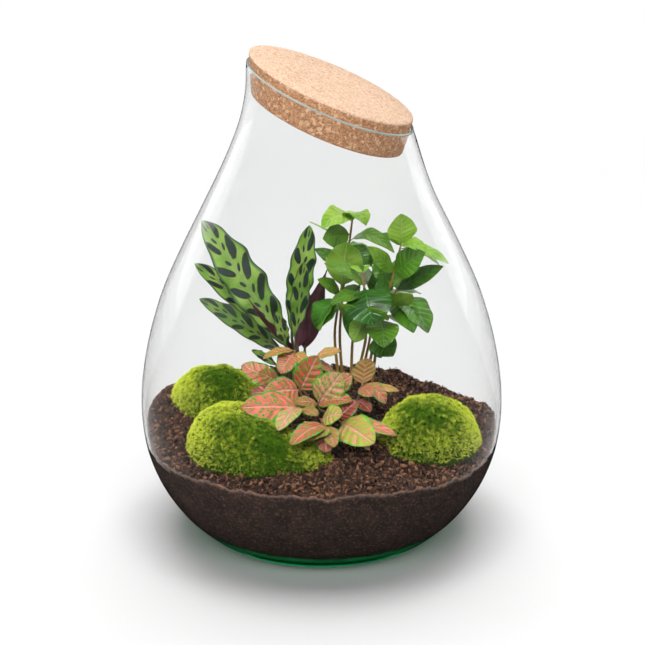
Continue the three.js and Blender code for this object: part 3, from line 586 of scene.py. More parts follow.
def coffee_upper():
    """Dark green to lime by the tint's alpha, which is the leaf's youth and painted light, with
    pale veins sunk between raised quilts.
    """
    paint = LeafPaint("coffee_upper", 0.2, 0.36, Coat_Weight=0.14, Coat_Roughness=0.16,
                      Specular_IOR_Level=0.3)
    youth_and_light = paint.tint() ** 1.3
    tone = paint.place().noise(70)
    mottle = tone.ramp(0.3, 0.7)
    distance = paint.vein_distance(8)
    rib = paint.u.fade(0.02, 0.07)
    lines = rib.or_more(distance.fade(0, 0.06) * 0.35)
    old_and_shaded = mottle.mix((0.003, 0.03, 0), (0.025, 0.16, 0))
    young_and_lit = mottle.mix((0.18, 0.44, 0), (0.4, 0.64, 0.06))
    pale = youth_and_light.mix((0.04, 0.19, 0.01), (0.46, 0.7, 0.17))
    paint.colour(youth_and_light.mix(old_and_shaded, young_and_lit), (distance.fade(0.1, 0.45) * 0.25, pale),
                 (lines * 0.75, pale))
    paint.bump(distance.ramp(0, 0.3) * 0.6 + tone - rib, 0.6, 0.7)
    return paint


def coffee_under():
    paint = LeafPaint("coffee_under", 0.2, 0.42, Coat_Weight=0.12, Coat_Roughness=0.25)
    mottle = paint.place().noise(70).ramp(0.3, 0.7)
    veins = paint.vein_distance(8).fade(0, 0.08)
    lines = paint.u.fade(0.03, 0.09).or_more(veins * 0.7)
    old_and_shaded = mottle.mix((0.05, 0.14, 0.006), (0.14, 0.27, 0.02))
    young_and_lit = mottle.mix((0.19, 0.4, 0.015), (0.34, 0.56, 0.07))
    # the tint's alpha is the leaf's youth and painted light: dark where old and in painted shade
    paint.colour(paint.tint().mix(old_and_shaded, young_and_lit), (lines * 0.55, (0.3, 0.42, 0.13)))
    paint.bump(lines, 0.6, 0.9)
    return paint


def fittonia_side(name, *last_layers):
    """Veins in the tint's colour round small islands of the ground colour, and a green margin."""
    paint = LeafPaint(name, 0.2, 0.42, Coat_Weight=0.1, Coat_Roughness=0.3)
    place, u = paint.place(), paint.u
    ground = paint.tint("Color", "ground")
    net = paint.join((u + paint.side * 3) * 3.4, paint.along * 17 + place.noise(300, 2) * 0.6)
    edge = net.cells(1, "Distance", "DISTANCE_TO_EDGE", 0.8)
    distance = paint.vein_distance(6)
    rib = u.fade(0.03, 0.12)
    lines = rib.or_more(distance.fade(0, 0.07) * 0.7)
    clear = 1 - paint.tint() ** 0.5
    island = (edge - clear * 0.45).ramp(-0.02, 0.03) * (1 - lines)
    paint.colour(
        paint.tint("Color"),
        (place.noise(120).ramp(0.35, 0.7, 0, 0.25), (0.8, 0.4, 0.3)),
        (island, ground),
        (rib * 0.4, (0.9, 0.52, 0.42)),
        (u.ramp(0.85, 0.92), paint.coats(ground, (0.5, (0.04, 0.32, 0.04)))),
        *last_layers)
    paint.bump(distance.ramp(0, 0.4) - rib + island * 0.5, 0.6, 0.9)
    return paint


def stem_paint(name, low, high):
    paint = Paint(name)
    tone = paint.join(paint.uv(0) * 6, paint.uv(1) * 40).noise(1)
    paint.colour(tone.ramp(0.3, 0.7).mix(low, high))
    paint.bump(tone, 0.3, 0.5)
    return paint


def soil_paint():
    """Peat: near black in the gaps, reddish brown on the crumbs, each lit by the tint's alpha as
    painted light: the alpha is low on the ground between the crumbs, a painted shade, and random on
    the crumbs.
    """
    paint = Paint("peat", 0.85, Specular_IOR_Level=0.3)
    place = paint.place()
    tone = place.noise(330, 6, 0.7)
    light = (tone * 0.7 + paint.tint() * 0.6).ramp(0.4, 0.95)
    paint.colour(
        light.mix((0.008, 0.003, 0.002), (0.31, 0.14, 0.075)),
        (place.noise(45).ramp(0.45, 0.75, 0, 0.15), (0.16, 0.08, 0.045)))
    paint.bump(tone, 1.4)
    return paint


def packed_soil_paint():
    """The peat pressed to the glass, with a painted highlight along its upper edge and the green
    light of the jar's foot painted on its lowest edge."""
    paint = Paint("peat_at_glass", 0.8, Specular_IOR_Level=0.3)
    place = paint.place()
    tone = place.noise(90, 7, 0.7)
    speck = place.noise(480, 4, 0.8)
    paint.colour(
        tone.ramp(0.32, 0.68).mix((0.008, 0.004, 0.003), (0.026, 0.014, 0.01)),
        (speck.ramp(0.52, 0.68, 0, 0.8), (0.13, 0.065, 0.038)),
        (speck.ramp(0.34, 0.46, 0.9, 0), (0.002, 0.001, 0.001)),
        # painted highlight along the upper edge
        ((paint.uv(1) + tone * 0.02).ramp(0.975, 1.008) * 0.45, (0.22, 0.14, 0.11)),
        # painted green light from the jar's foot along the lowest edge
        ((place.part(2) - tone * 0.004).fade(0.0115, 0.0165),
         tone.mix((0.005, 0.16, 0.055), (0.015, 0.36, 0.13))))
    paint.bump(tone, 0.8, 0.8)
    return paint


def moss_ground_paint():
    paint = Paint("moss_ground", 0.95, Specular_IOR_Level=0.15)
    tone = paint.place().noise(500, 5, 0.7)
    paint.colour(tone.mix((0.006, 0.018, 0.001), (0.05, 0.1, 0.006)))
    paint.bump(tone, 1)
    return paint


def moss_leaf_paint():
    """Dark at the root of a blade, partly painted shade deep in the cushion, and bright at its tip
    where the tint's alpha is high. The alpha is youth and painted light.
    """
    paint = Paint("moss_leaves", 0.7, Specular_IOR_Level=0.3)
    youth_and_light = paint.tint()
    patches = paint.place().noise(50)
    deep = patches.mix((0.05, 0.17, 0.001), (0.14, 0.29, 0.001))
    bright = patches.mix((0.74, 0.86, 0.035), (0.92, 0.97, 0.14))
    paint.colour(youth_and_light.mix((0.008, 0.03, 0.001), (0.07, 0.12, 0.004)),
                 (paint.uv(1).ramp(0, 0.8), youth_and_light.mix(deep, bright)))
    return paint


def cork_paint(name, grains, dark, pale, blots, flecks, specks, bump):
    """Cork granules from dark to pale. Grains is their scale, blots the scale and detail of a
    noise, flecks its ramp and their colour, and specks a scale, channel, ramp and colour."""
    paint = Paint(name, 0.85, Specular_IOR_Level=0.2)
    place = paint.place()
    blot = place.noise(*blots, 0.7)
    *fleck_ramp, fleck_colour = flecks
    scale, channel, *speck_ramp, speck_colour = specks
    paint.colour(
        place.cells(grains).part(0).mix(dark, pale),
        (blot.ramp(*fleck_ramp), fleck_colour),
        (place.cells(scale).part(channel).ramp(*speck_ramp), speck_colour))
    paint.bump(blot, *bump)
    return paint


def glass_paint(name, refraction):
    paint = Paint(name, 0, Transmission_Weight=1, IOR=refraction)
    green = paint.place().part(2).fade(0.004, 0.026)
    paint.colour(green.mix((0.915, 0.92, 0.92), (0.12, 0.62, 0.34)))
    return paint


def glass_rim_paint():
    """The lip of the mouth, greenish grey and less clear, partly the glass's own tint and partly a
    painted reflection that stands in for the light its thick edge bends and throws back.
    """
    paint = Paint("glass_rim", 0.12, Transmission_Weight=0.45, IOR=1.3)
    paint.colour(paint.place().noise(40).mix((0.24, 0.32, 0.3), (0.5, 0.6, 0.58)))
    return paint


def glass_foot_paint():
    """The thick green foot, painted to glow green though it is no lamp."""
    paint = Paint("glass_foot", 0.1, IOR=1.2, Emission_Strength=1)
    place = paint.place()
    green = paint.coats(
        place.part(2).ramp(0, 0.0016).mix((0.001, 0.02, 0.008), (0.008, 0.16, 0.06)),
        (place.noise(30).ramp(0.35, 0.7, 0, 0.6), (0.004, 0.08, 0.03)))
    paint.colour(green)
    # painted glow
    paint.glow(green)
    return paint


def floor_paint():
    """Pale round the jar, and far from it a white that glows evenly, without a horizon."""
    paint = Paint("floor", 0.7, Specular_IOR_Level=0.2, Emission_Strength=1)
    place = paint.place()
    x, y = place.part(0), place.part(1)
    far = (x * x + y * y).root().ramp(FLOOR_PALE, FLOOR_WHITE)
    paint.colour(place.noise(3).mix((0.86, 0.86, 0.86), (0.9, 0.9, 0.9)), (far, (0, 0, 0)))
    paint.glow(far.mix((0, 0, 0), (1, 1, 1)))
    return paint


def backdrop_paint():
    paint = Paint("backdrop", 1, Specular_IOR_Level=0, Emission_Strength=1)
    paint.inputs["Base Color"].default_value = (0, 0, 0, 1)
    paint.glow(paint.place().noise(0.4).mix((0.98, 0.98, 0.98), (1, 1, 1)))
    return paint


# The jar

def interpolate(rows, value):
    for (a, x), (b, y) in zip(rows, rows[1:]):
        if value <= b:
            return x + (y - x) * (value - a) / (b - a)
    return rows[-1][1]


def neck_section(share):
    left = NECK_START + (RIM_LEFT_HEIGHT - NECK_START) * share
    right = NECK_START + (RIM_RIGHT_HEIGHT - NECK_START) * share
    left_x = -interpolate(NECK, left)
    right_x = interpolate(NECK, right) + RIM_RIGHT_FLARE * share * share * (3 - 2 * share)
    return ((left_x + right_x) / 2, (left + right) / 2,
            hypot(right_x - left_x, left - right) / 2,
            atan2(left - right, right_x - left_x))


def smooth_levels(levels, steps):
    """A smooth curve through rows of numbers, each level drawn towards its neighbours' slope."""
    places = [0]
    for a, b in zip(levels, levels[1:]):
        places.append(places[-1] + hypot(a[1] - b[1], a[2] - b[2]))
    slopes = []
    for i in range(len(levels)):
        a, b = max(i - 1, 0), min(i + 1, len(levels) - 1)
        slopes.append([(q - p) / (places[b] - places[a]) for p, q in zip(levels[a], levels[b])])
    out = [levels[0]]
    for i in range(len(levels) - 1):
        span = places[i + 1] - places[i]
        for k in range(1, steps + 1):
            t = k / steps
            h = (2 * t ** 3 - 3 * t * t + 1, t ** 3 - 2 * t * t + t,
                 -2 * t ** 3 + 3 * t * t, t ** 3 - t * t)
            rows = zip(levels[i], slopes[i], levels[i + 1], slopes[i + 1])
            out.append(tuple(h[0] * a + h[1] * span * m + h[2] * b + h[3] * span * n
                             for a, m, b, n in rows))
    return out


def ring(section, radius, lift, segments=JAR_SEGMENTS):
    x, z, _, tilt = section
    points = []
    for i in range(segments + 1):
        angle = TURN * (i % segments) / segments
        along = radius * cos(angle)
        points.append((x + along * cos(tilt) + lift * sin(tilt),
                       radius * sin(angle),
                       z - along * sin(tilt) + lift * cos(tilt)))
    return points


def flat_ring(z, radius, segments=JAR_SEGMENTS):
    return ring((0, z, radius, 0), radius, 0, segments)


CAD_LEVELS = [(0, height, radius, 0) for radius, height in BODY]
CAD_LEVELS += [neck_section(i / NECK_STEPS) for i in range(1, NECK_STEPS + 1)]
LEVELS = smooth_levels(CAD_LEVELS, LEVEL_STEPS)
MOUTH = LEVELS[-1]


def inner_levels():
    out = []
    for i, level in enumerate(LEVELS):
        before, after = LEVELS[max(i - 1, 0)], LEVELS[min(i + 1, len(LEVELS) - 1)]
        rise = hypot(after[0] - before[0], after[1] - before[1])
        slope = 0 if i + 1 == len(LEVELS) else (after[2] - before[2]) / rise
        square = hypot(1, slope)
        if level[1] > FLOOR_HEIGHT + 2:
            out.append((level, level[2] - GLASS_WALL / square, GLASS_WALL * slope / square))
    return out


INNER = inner_levels()
FLOOR_CORNER = [(78, FLOOR_HEIGHT), (86, FLOOR_HEIGHT + 0.4), (91, FLOOR_HEIGHT + 2)]


def inner_radius(height):
    rows = [(z, r) for r, z in FLOOR_CORNER]
    rows += [(level[1] + lift, radius) for level, radius, lift in INNER if level[3] == 0]
    return interpolate(rows, height)


def revolve(mesh, rings, slot, colour=WHITE):
    uvs = [[(j / (len(r) - 1), i / (len(rings) - 1)) for j in range(len(r))]
           for i, r in enumerate(rings)]
    mesh.add_grid(rings, uvs, slot, colour)


def weld(piece, distance=1e-6):
    work = bmesh.new()
    work.from_mesh(piece.data)
    bmesh.ops.remove_doubles(work, verts=work.verts, dist=distance)
    bmesh.ops.dissolve_degenerate(work, edges=work.edges, dist=distance)
    bmesh.ops.recalc_face_normals(work, faces=work.faces)
    work.to_mesh(piece.data)
    work.free()


def make_jar():
    mesh = Mesh()
    rings = [flat_ring(0, radius) for radius in (0, 40, 70)]
    rings += [ring(level, level[2], 0) for level in LEVELS]
    lip = len(rings) - 1
    for step in range(1, LIP_STEPS):
        angle = pi * step / LIP_STEPS
        inwards = GLASS_WALL / 2 * (1 - cos(angle))
        rings.append(ring(MOUTH, MOUTH[2] - inwards, LIP_HEIGHT * sin(angle)))
    rings += [ring(level, radius, lift) for level, radius, lift in reversed(INNER)]
    rings += [flat_ring(z, r) for r, z in reversed(FLOOR_CORNER)]
    rings += [flat_ring(FLOOR_HEIGHT, radius) for radius in (40, 0)]
    revolve(mesh, rings, 0)
    for i, face in enumerate(mesh.faces):
        row = i // JAR_SEGMENTS
        x, y, top = max((mesh.points[k] for k in face), key=lambda point: point[2])
        if row < lip and top < FOOT_HEIGHT:
            mesh.slots[i] = 1
        elif lip <= row < lip + LIP_STEPS:
            mesh.slots[i] = 2
        elif row >= lip and top < soil_height(x, y) - 1:
            mesh.slots[i] = 3
    paints = [glass_paint("glass", GLASS_REFRACTION), glass_foot_paint(), glass_rim_paint(),
              glass_paint("glass_wet_by_soil", WET_GLASS_REFRACTION)]
    piece = mesh.build("jar_glass", paints, "glass_jar")
    weld(piece)
    piece.visible_shadow = piece.visible_diffuse = False
    return piece


def make_cork():
    x, z, radius, tilt = MOUTH
    seat = radius - GLASS_WALL - FIT_GAP
    low = CORK_ABOVE_MOUTH - CORK_THICKNESS
    high = CORK_ABOVE_MOUTH

    def level(lift, inwards=0):
        """A ring of the stopper's side at this lift, or its middle point with inwards None."""
        section = (x - CORK_LEAN * lift * cos(tilt), z + CORK_LEAN * lift * sin(tilt),
                   radius, tilt)
        reach = 0 if inwards is None else seat + CORK_TAPER * lift - inwards
        return ring(section, reach, lift)

    mesh = Mesh()
    bottom = [level(low, None), level(low, 30), level(low, CORK_EDGE),
              level(low + 0.35 * CORK_EDGE, 0.35 * CORK_EDGE), level(low + CORK_EDGE)]
    height = high - low - 2 * CORK_EDGE
    side = [level(low + CORK_EDGE + height * i / CORK_SIDE_STEPS)
            for i in range(CORK_SIDE_STEPS + 1)]
    top = [level(high - CORK_EDGE), level(high - 0.35 * CORK_EDGE, 0.25 * CORK_EDGE),
           level(high, 0.9 * CORK_EDGE), level(high, 25), level(high, None)]
    for rings, slot in ((bottom, 1), (side, 1), (top, 0)):
        revolve(mesh, rings, slot)
    top_paint = cork_paint(
        "cork_top", 1000, (0.44, 0.28, 0.18), (0.62, 0.465, 0.35), (700, 4),
        (0.54, 0.66, 0, 0.85, (0.42, 0.2, 0.085)),
        (600, 2, 0.9, 0.96, 0, 0.55, (0.3, 0.13, 0.05)), (0.3, 0.7))
    side_paint = cork_paint(
        "cork_side", 900, (0.29, 0.135, 0.066), (0.56, 0.31, 0.17), (650, 5),
        (0.5, 0.66, 0, 0.75, (0.2, 0.08, 0.03)),
        (480, 1, 0.8, 0.92, 0, 0.6, (0.74, 0.5, 0.31)), (0.6, 0.9))
    weld(mesh.build("cork_lid", [top_paint, side_paint], "cork_stopper"))


# The soil

def polar(radius, angle):
    return radius * cos(angle), radius * sin(angle)


def soil_height(x, y):
    mounds = sum(height * exp(-((x - mx) ** 2 + (y - my) ** 2) / (2 * spread ** 2))
                 for mx, my, height, spread in SOIL_MOUNDS)
    clods = sin(x / 7 + 1.3 * sin(y / 11)) * cos(y / 8 + 0.9 * sin(x / 13))
    return SOIL_LEVEL + mounds + SOIL_RELIEF * clods


def crumbly(x, y, amount=1):
    """The soil's height with its clods and crumbs, which the amount makes lower or higher."""
    point = Vector((x, y, 0))
    rough = noise.fractal(point * 0.11, 0.8, 2.1, 4) * 1.8 + noise.noise(point * 0.36) * 2.2
    rough += noise.noise(point * 0.9)
    return soil_height(x, y) + amount * rough


def add_crumb(mesh, centre, size, rng):
    """A small uneven lump: a box squeezed by random amounts."""
    axes = [Vector([rng.gauss(0, 1) for _ in range(3)]).normalized()]
    axes.append(axes[0].orthogonal().normalized())
    axes.append(axes[0].cross(axes[1]))
    reach = [size * rng.uniform(*span) for span in ((0.6, 1.2), (0.3, 0.7), (0.25, 0.5))]
    ends = [centre + axes[i] * reach[i] * sign for i in range(3) for sign in (1, -1)]
    faces = [(0, 2, 4), (2, 1, 4), (1, 3, 4), (3, 0, 4), (2, 0, 5), (1, 2, 5), (3, 1, 5), (0, 3, 5)]
    mesh.add_faces(ends, faces, 0, (1, 1, 1, rng.random() ** 1.3), [(0.5, 0.5)] * 3)


def add_fibre(mesh, rng):
    angle = rng.uniform(0, TURN)
    x, y = polar(FIBRE_REACH * sqrt(rng.random()), angle)
    turn = rng.uniform(0, pi)
    length = rng.uniform(*FIBRE_LENGTHS)
    rise = rng.uniform(*FIBRE_RISES)
    points = []
    for k in range(4):
        share = k / 3 - 0.5
        t = share * length
        px = x + t * cos(turn) + 0.3 * sin(3 * t)
        py = y + t * sin(turn)
        points.append(Vector((px, py, crumbly(px, py) + FIBRE_LIFT + rise * share)))
    add_tube(mesh, points, [FIBRE_RADIUS] * 4, 2, 4)


def make_soil():
    rng = random.Random(SEED)
    mesh = Mesh()
    edge = []
    for i in range(SOIL_SEGMENTS + 1):
        angle = TURN * (i % SOIL_SEGMENTS) / SOIL_SEGMENTS
        edge.append((angle, crumbly(*polar(SOIL_EDGE, angle), SOIL_EDGE_RELIEF)))
    floor = FLOOR_HEIGHT + FIT_GAP
    side = [[(0, 0, floor)] * (SOIL_SEGMENTS + 1), flat_ring(floor, 60, SOIL_SEGMENTS),
            flat_ring(floor, 80, SOIL_SEGMENTS)]
    for row in range(1, SOIL_SIDE_ROWS + 1):
        levels = [floor + (height - floor) * row / SOIL_SIDE_ROWS for _, height in edge]
        side.append([(*polar(inner_radius(z) - FIT_GAP, angle), z)
                     for (angle, _), z in zip(edge, levels)])
    revolve(mesh, side, 1)
    top = [side[-1]]
    for row in range(1, SOIL_ROWS + 1):
        share = 1 - row / SOIL_ROWS
        relief = 1 if share < 0.985 else SOIL_EDGE_RELIEF
        places = [polar(share * (inner_radius(height) - FIT_GAP), angle) for angle, height in edge]
        top.append([(x, y, crumbly(x, y, relief)) for x, y in places])
    # the low alpha paints shade on the ground between the crumbs
    revolve(mesh, top, 0, (1, 1, 1, 0.2))
    for _ in range(SOIL_CRUMBS):
        angle = rng.uniform(0, TURN)
        size = CRUMB_LEAST + CRUMB_SPREAD * rng.random() ** 3
        x, y = polar((SOIL_REACH - size) * sqrt(rng.random()), angle)
        add_crumb(mesh, Vector((x, y, crumbly(x, y) + 0.4 * size)), size, rng)
    for _ in range(SOIL_FIBRES):
        add_fibre(mesh, rng)
    paints = [soil_paint(), packed_soil_paint(),
              stem_paint("peat_fibres", (0.12, 0.055, 0.025), (0.32, 0.17, 0.08))]
    weld(mesh.build("peat_bed", paints, "soil"))


# The moss

def moss_reach(radii, turn):
    count = len(radii)
    place = turn / TURN * count % count
    i = int(place)
    s = place - i
    a, b, c, d = (radii[(i + k) % count] for k in (-1, 0, 1, 2))
    return b + 0.5 * s * (c - a + s * (2 * a - 5 * b + 4 * c - d + s * (3 * (b - c) + d - a)))


def moss_point(cushion, share, angle):
    (cx, cy), seat, rise, fall, _, radii = cushion
    x, y = polar(share * moss_reach(radii, angle), angle)
    dome = rise * (1 - fall * x) * (1 - min(share, 1) ** 3) ** 0.6
    lumps = noise.noise(Vector((cx + x, cy + y, 5)) * 0.13) * 2
    lumps += noise.noise(Vector((cx + x, cy + y, 9)) * 0.4) * 0.8
    return Vector((cx + x, cy + y, seat + dome + lumps * min(1, 4 * (1 - share)) - 1.2))


def moss_normal(cushion, share, angle, step=0.02):
    inner, outer = share - step, min(share + step, 1)
    out = moss_point(cushion, outer, angle) - moss_point(cushion, inner, angle)
    turned = moss_point(cushion, share, angle + step) - moss_point(cushion, share, angle - step)
    normal = out.cross(turned).normalized()
    if normal.z < 0:
        normal.negate()
    return normal


def make_moss(name, cushion, paints):
    rng = random.Random(f"{SEED}{name}")
    mesh = Mesh()
    turns = [TURN * (i % MOSS_SEGMENTS) / MOSS_SEGMENTS for i in range(MOSS_SEGMENTS + 1)]
    rings = [[tuple(moss_point(cushion, (row / MOSS_ROWS) ** 0.6, turn)) for turn in turns]
             for row in range(MOSS_ROWS + 1)]
    rings.append([(x, y, min(z, soil_height(x, y) + 0.5)) for x, y, z in rings[-1]])
    revolve(mesh, rings, 0)
    (cx, cy), (shade_x, shade_y, shade_reach) = cushion[0], cushion[4]
    for _ in range(MOSS_TUFTS):
        angle = rng.uniform(0, TURN)
        share = min(rng.random() ** 0.47, 0.995)
        root = moss_point(cushion, share, angle)
        if root.z < soil_height(root.x, root.y) - 0.5:
            continue
        normal = moss_normal(cushion, share, angle)
        clump = noise.noise(root * 0.36) + 0.6 * noise.noise(root * 0.85)
        patch = noise.noise(root * 0.05 + Vector((3, 1, 7)))
        # painted light and shade in the tint's alpha: tufts are darker near the patch of painted
        # shade and brighter on higher clumps
        away = hypot(root.x - (cx + shade_x), root.y - (cy + shade_y)) / shade_reach
        youth_and_light = 1.25 * (away - 0.45) + 0.6 * patch + 0.7 * clump + rng.uniform(-0.3, 0.35)
        colour = (1, 1, 1, min(0.9, max(0, youth_and_light)))
        root = root + normal * (1.5 * clump + 0.3)
        side_way = normal.orthogonal().normalized()
        for blade in range(TUFT_BLADES):
            turn = TURN * (blade + rng.random()) / TUFT_BLADES
            way = side_way * cos(turn) + normal.cross(side_way) * sin(turn)
            lean = rng.uniform(*TUFT_LEANS)
            length = rng.uniform(*TUFT_LENGTHS)
            tip = root + (normal + way * lean).normalized() * length
            half = way.cross(normal) * (TUFT_WIDTH / 2)
            mesh.add_faces([root - half, root + half, tip], [(0, 1, 2)], 1, colour, BLADE_UV)
    mesh.build(f"{name}_cushion", paints, name)


# Leaves and stems

def quadratic(a, b, c):
    return (lambda t: a * (1 - t) ** 2 + b * (2 * t * (1 - t)) + c * t * t,
            lambda t: ((b - a) * (2 - 2 * t) + (c - b) * (2 * t)).normalized())


def catmull(points):
    """The same curve through points as the part's source draws."""

    def at(t):
        place = (len(points) - 1) * t
        i = min(int(place), len(points) - 2)
        w = place - i
        x1, x2 = points[i], points[i + 1]
        x0 = points[i - 1] if i > 0 else x1 * 2 - x2
        x3 = points[i + 2] if i + 2 < len(points) else x2 * 2 - x1
        t0, t1 = (x2 - x0) * 0.5, (x3 - x1) * 0.5
        c2 = x1 * -3 + x2 * 3 - t0 * 2 - t1
        c3 = x1 * 2 - x2 * 2 + t0 + t1
        return x1 + t0 * w + c2 * w * w + c3 * w ** 3

    return at


def add_tube(mesh, points, radii, slot, sides=STEM_SIDES):
    start = len(mesh.points)
    turns = [TURN * k / sides for k in range(sides)]
    side_way = None
    lengths = [0]
    for i, point in enumerate(points):
        along = (points[min(i + 1, len(points) - 1)] - points[max(i - 1, 0)]).normalized()
        if side_way is None:
            side_way = along.orthogonal().normalized()
        side_way = (side_way - along * side_way.dot(along)).normalized()
        other = along.cross(side_way)
        mesh.add_points([point + (side_way * cos(a) + other * sin(a)) * radii[i]
                         for a in turns], WHITE)
        if i:
            lengths.append(lengths[-1] + (point - points[i - 1]).length)
    for i in range(len(points) - 1):
        for k in range(sides):
            corners = [(i, k), (i, k + 1), (i + 1, k + 1), (i + 1, k)]
            mesh.add_face([start + a * sides + b % sides for a, b in corners],
                          [(b / sides, lengths[a] / STEM_UV_LENGTH) for a, b in corners], slot)
    for i, flip in ((0, True), (len(points) - 1, False)):
        cap = [start + i * sides + k for k in range(sides)]
        mesh.add_face(cap[::-1] if flip else cap, [(0, 0)] * sides, slot)


def add_blade(mesh, kind, base, tip, width, arch, face, colour):
    """A blade with its upper side in slot 0 and its underside in slot 1, and its rib's curve."""
    (fold_share, waves, wave_height, ripple, quilt, veins,
     rows, columns, outline) = KINDS[kind]
    chord = (tip - base).normalized()
    face = Vector(face)
    face = (face - chord * face.dot(chord)).normalized()
    at, tangent = quadratic(base, (base + tip) / 2 + face * (2 * arch), tip)
    upper, lower, uvs = [], [], []
    for i in range(rows + 1):
        s = i / rows
        along = tangent(s)
        across = along.cross(face).normalized()
        up = across.cross(along)
        phase = TURN * waves * s
        half = width / 2 * outline(s) * (1 + ripple * sin(phase + 1))
        swell = sin(pi * s) * width * wave_height
        top, bottom, uv = [], [], []
        for j in range(columns):
            u = 2 * j / (columns - 1) - 1
            wave = swell * u * u * sin(phase + (0 if u > 0 else 1.6))
            fold = fold_share * half * (sqrt(u * u + 0.02) - 0.14)
            vein = abs((s - 0.2 * abs(u)) * veins % 1 - 0.5)
            puff = quilt * sin(pi * abs(u)) * min(1, vein / 0.3) * sin(pi * s)
            middle = at(s) + across * (half * u) + up * (fold + wave + puff)
            thin = BLADE_THICKNESS / 2 * (1 if abs(u) < 1 else 0.3)
            top.append(middle + up * thin)
            bottom.append(middle - up * thin)
            uv.append((j / (columns - 1), s))
        upper.append(top)
        lower.append(bottom)
        uvs.append(uv)
    mesh.add_grid(upper, uvs, 0, colour)
    mesh.add_grid(lower, uvs, 1, colour, flip=True)
    for j, flip in ((0, False), (columns - 1, True)):
        rim = [[upper[i][j], lower[i][j]] for i in range(rows + 1)]
        mesh.add_grid(rim, [[row[j]] * 2 for row in uvs], 0, colour, flip)
    for i, flip in ((0, True), (rows, False)):
        mesh.add_grid([upper[i], lower[i]], [uvs[i]] * 2, 0, colour, flip)
    return at, tangent


def foot_of(root):
    x, y = root
    low = Vector((x, y, soil_height(x, y) - ROOT_DEPTH))
    return low, low + Vector((0, 0, ROOT_DEPTH + FOOT_RISE))


def make_calathea(name, leaf, paints):
    root, base, tip, width, arch, face, kind, painted_shade = leaf
    mesh = Mesh()
    base, tip = Vector(base), Vector(tip)
    count = round((tip - base).length / BLOTCH_SPACING)
    at, tangent = add_blade(mesh, kind, base, tip, width, arch, face, (count / 20, 0, 0, painted_shade))
    foot, start = foot_of(root)
    bend = base - tangent(0) * ((base - start).length / 4)
    stalk, _ = quadratic(start, bend, at(0.04))
    points = [foot] + [stalk(i / 20) for i in range(21)]
    radii = [CALATHEA_STALK] * 12 + [CALATHEA_STALK * (1 - 0.45 * i / 10) for i in range(10)]
    add_tube(mesh, points, radii, 2)
    node = f"calathea_leaf_{name}"
    mesh.build(f"{node}_fine", paints, node)


def make_leafy_stem(kind, node, plant, radius, paints, colour_of):
    stem, leaves = plant
    mesh = Mesh()
    foot, start = foot_of(stem[0])
    curve = catmull([start] + [Vector(p) for p in stem[1:]])
    count = 10 * (len(stem) - 1)
    points = [foot] + [curve(i / count) for i in range(count + 1)]
    radii = [radius * (1 - 0.35 * max(0, i - 1) / count) for i in range(len(points))]
    add_tube(mesh, points, radii, 2)
    grounds = [(0, 0, 0, 1)] * len(mesh.points)
    for at, tip, width, arch, face, colour in leaves:
        tint, ground = colour_of(colour)
        add_blade(mesh, kind, curve(at), Vector(tip), width, arch, face, tint)
        grounds += [ground] * (len(mesh.points) - len(grounds))
    piece = mesh.build(f"{node}_fine", paints, node)
    add_colours(piece.data, "ground", grounds)


def coffee_colour(youth_and_light):
    return (1, 1, 1, youth_and_light), (0, 0, 0, 1)


def fittonia_colour(name):
    veins, ground, share = FITTONIA_COLOURS[name]
    return (*veins, share), (*ground, 1)


def make_plants():
    paints = [calathea_upper(), calathea_under(),
              stem_paint("calathea_stalk", (0.05, 0.04, 0.02), (0.15, 0.12, 0.05))]
    for name, leaf in CALATHEA.items():
        make_calathea(name, leaf, paints)
    paints = [coffee_upper(), coffee_under(),
              stem_paint("coffee_stem", (0.16, 0.11, 0.015), (0.42, 0.24, 0.05))]
    for name, plant in COFFEE.items():
        make_leafy_stem("coffee", f"coffee_seedling_{name}", plant, COFFEE_STEM, paints,
                        coffee_colour)
    paints = [fittonia_side("fittonia_upper"),
              fittonia_side("fittonia_under", (0.5, (0.58, 0.36, 0.16))),
              stem_paint("fittonia_stem", (0.14, 0.07, 0.03), (0.34, 0.18, 0.1))]
    for name, plant in FITTONIA.items():
        make_leafy_stem("fittonia", f"fittonia_stem_{name}", plant, FITTONIA_STEM, paints,
                        fittonia_colour)


# The room

def make_stage(name, points, faces, paint, height):
    data = bpy.data.meshes.new(name)
    data.from_pydata(points, [], faces)
    data.materials.append(paint.material)
    sheet = add_object(name, data)
    sheet.location.z = height
    sheet.visible_glossy = False
    return sheet


def make_floor():
    reach = FLOOR_REACH
    corners = [(-reach, -reach, 0), (reach, -reach, 0), (reach, reach, 0), (-reach, reach, 0)]
    return make_stage("floor", corners, [(0, 1, 2, 3)], floor_paint(), FLOOR_LEVEL)


def make_backdrop():
    """A white round wall with a lid, which shows behind the jar and lights nothing."""
    turns = [TURN * i / WALL_SIDES for i in range(WALL_SIDES)]
    points = [(*polar(FLOOR_REACH, turn), z) for z in (0, WALL_HEIGHT) for turn in turns]
    faces = []
    for i in range(WALL_SIDES):
        n = (i + 1) % WALL_SIDES
        faces.append((i, n, WALL_SIDES + n, WALL_SIDES + i))
    faces.append(tuple(range(WALL_SIDES, 2 * WALL_SIDES)))
    wall = make_stage("backdrop", points, faces, backdrop_paint(), WALL_FOOT)
    wall.visible_diffuse = wall.visible_shadow = False


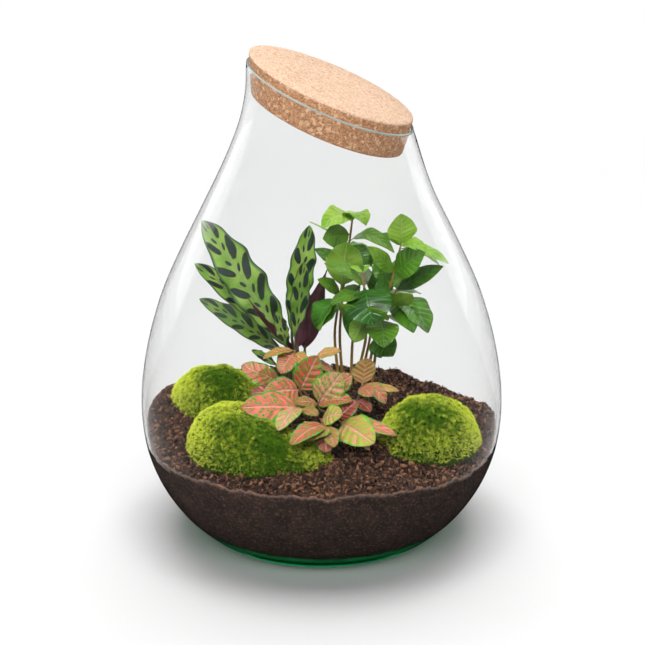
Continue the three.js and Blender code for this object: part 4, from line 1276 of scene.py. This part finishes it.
def make_lamps(lamps, aim, mirrored, item=None, state=None):
    """Lamps that face the aim, or straight down. Only those that are mirrored show in the glass.
    They light nothing but the item (INCLUDE), or all else (EXCLUDE)."""
    for name, place, size, power in lamps:
        data = bpy.data.lights.new(name, "AREA")
        data.shape = "RECTANGLE"
        data.size, data.size_y = size
        data.energy = power
        lamp = add_object(name, data)
        lamp.location = place
        way = Vector(aim or (place[0], place[1], 0)) - Vector(place)
        lamp.rotation_euler = way.to_track_quat("-Z", "Y").to_euler()
        lamp.visible_camera = False
        lamp.visible_glossy = lamp.visible_transmission = mirrored
        if state:
            receivers = bpy.data.collections.new(f"{name}_receivers")
            receivers.objects.link(item)
            receivers.collection_objects[0].light_linking.link_state = state
            lamp.light_linking.receiver_collection = receivers


def make_world():
    """White light from behind the jar, and little from behind the camera."""
    world = bpy.data.worlds.new("studio")
    bpy.context.scene.world = world
    world.use_nodes = True
    world.cycles_visibility.glossy = False
    nodes = Nodes(world.node_tree)
    background = world.node_tree.nodes["Background"].inputs
    way = nodes.node("TexCoord", {}, "Generated").part(1)
    limits = (way, -0.1, 0.5, WORLD_LIGHT_BEHIND_CAMERA, WORLD_LIGHT)
    nodes.put(background["Strength"], nodes.node("MapRange", dict(enumerate(limits))))
    background["Color"].default_value = WHITE


def make_room(glass):
    floor = make_floor()
    make_backdrop()
    make_world()
    make_lamps(OVERHEAD_LIGHTS, None, False)
    make_lamps(SOIL_LIGHTS, SOIL_MIDDLE, False, floor, "EXCLUDE")
    make_lamps(JAR_LIGHTS, JAR_MIDDLE, True, floor, "EXCLUDE")
    make_lamps(GLASS_LIGHTS, JAR_MIDDLE, True, glass, "INCLUDE")
    bpy.context.scene.view_settings.view_transform = "Standard"


def make_camera():
    data = bpy.data.cameras.new("camera")
    data.lens = CAMERA_LENS
    data.sensor_width = CAMERA_SENSOR
    camera = add_object("camera", data)
    place = Vector(CAMERA_PLACE) * MM
    camera.location = place
    aim = Vector(CAMERA_AIM) * MM - place
    camera.rotation_euler = aim.to_track_quat("-Z", "Y").to_euler()
    bpy.context.scene.camera = camera


make_camera()
make_room(make_jar())
make_cork()
make_soil()
moss_paints = [moss_ground_paint(), moss_leaf_paint()]
for moss_name, moss_cushion in MOSS.items():
    make_moss(moss_name, moss_cushion, moss_paints)
make_plants()
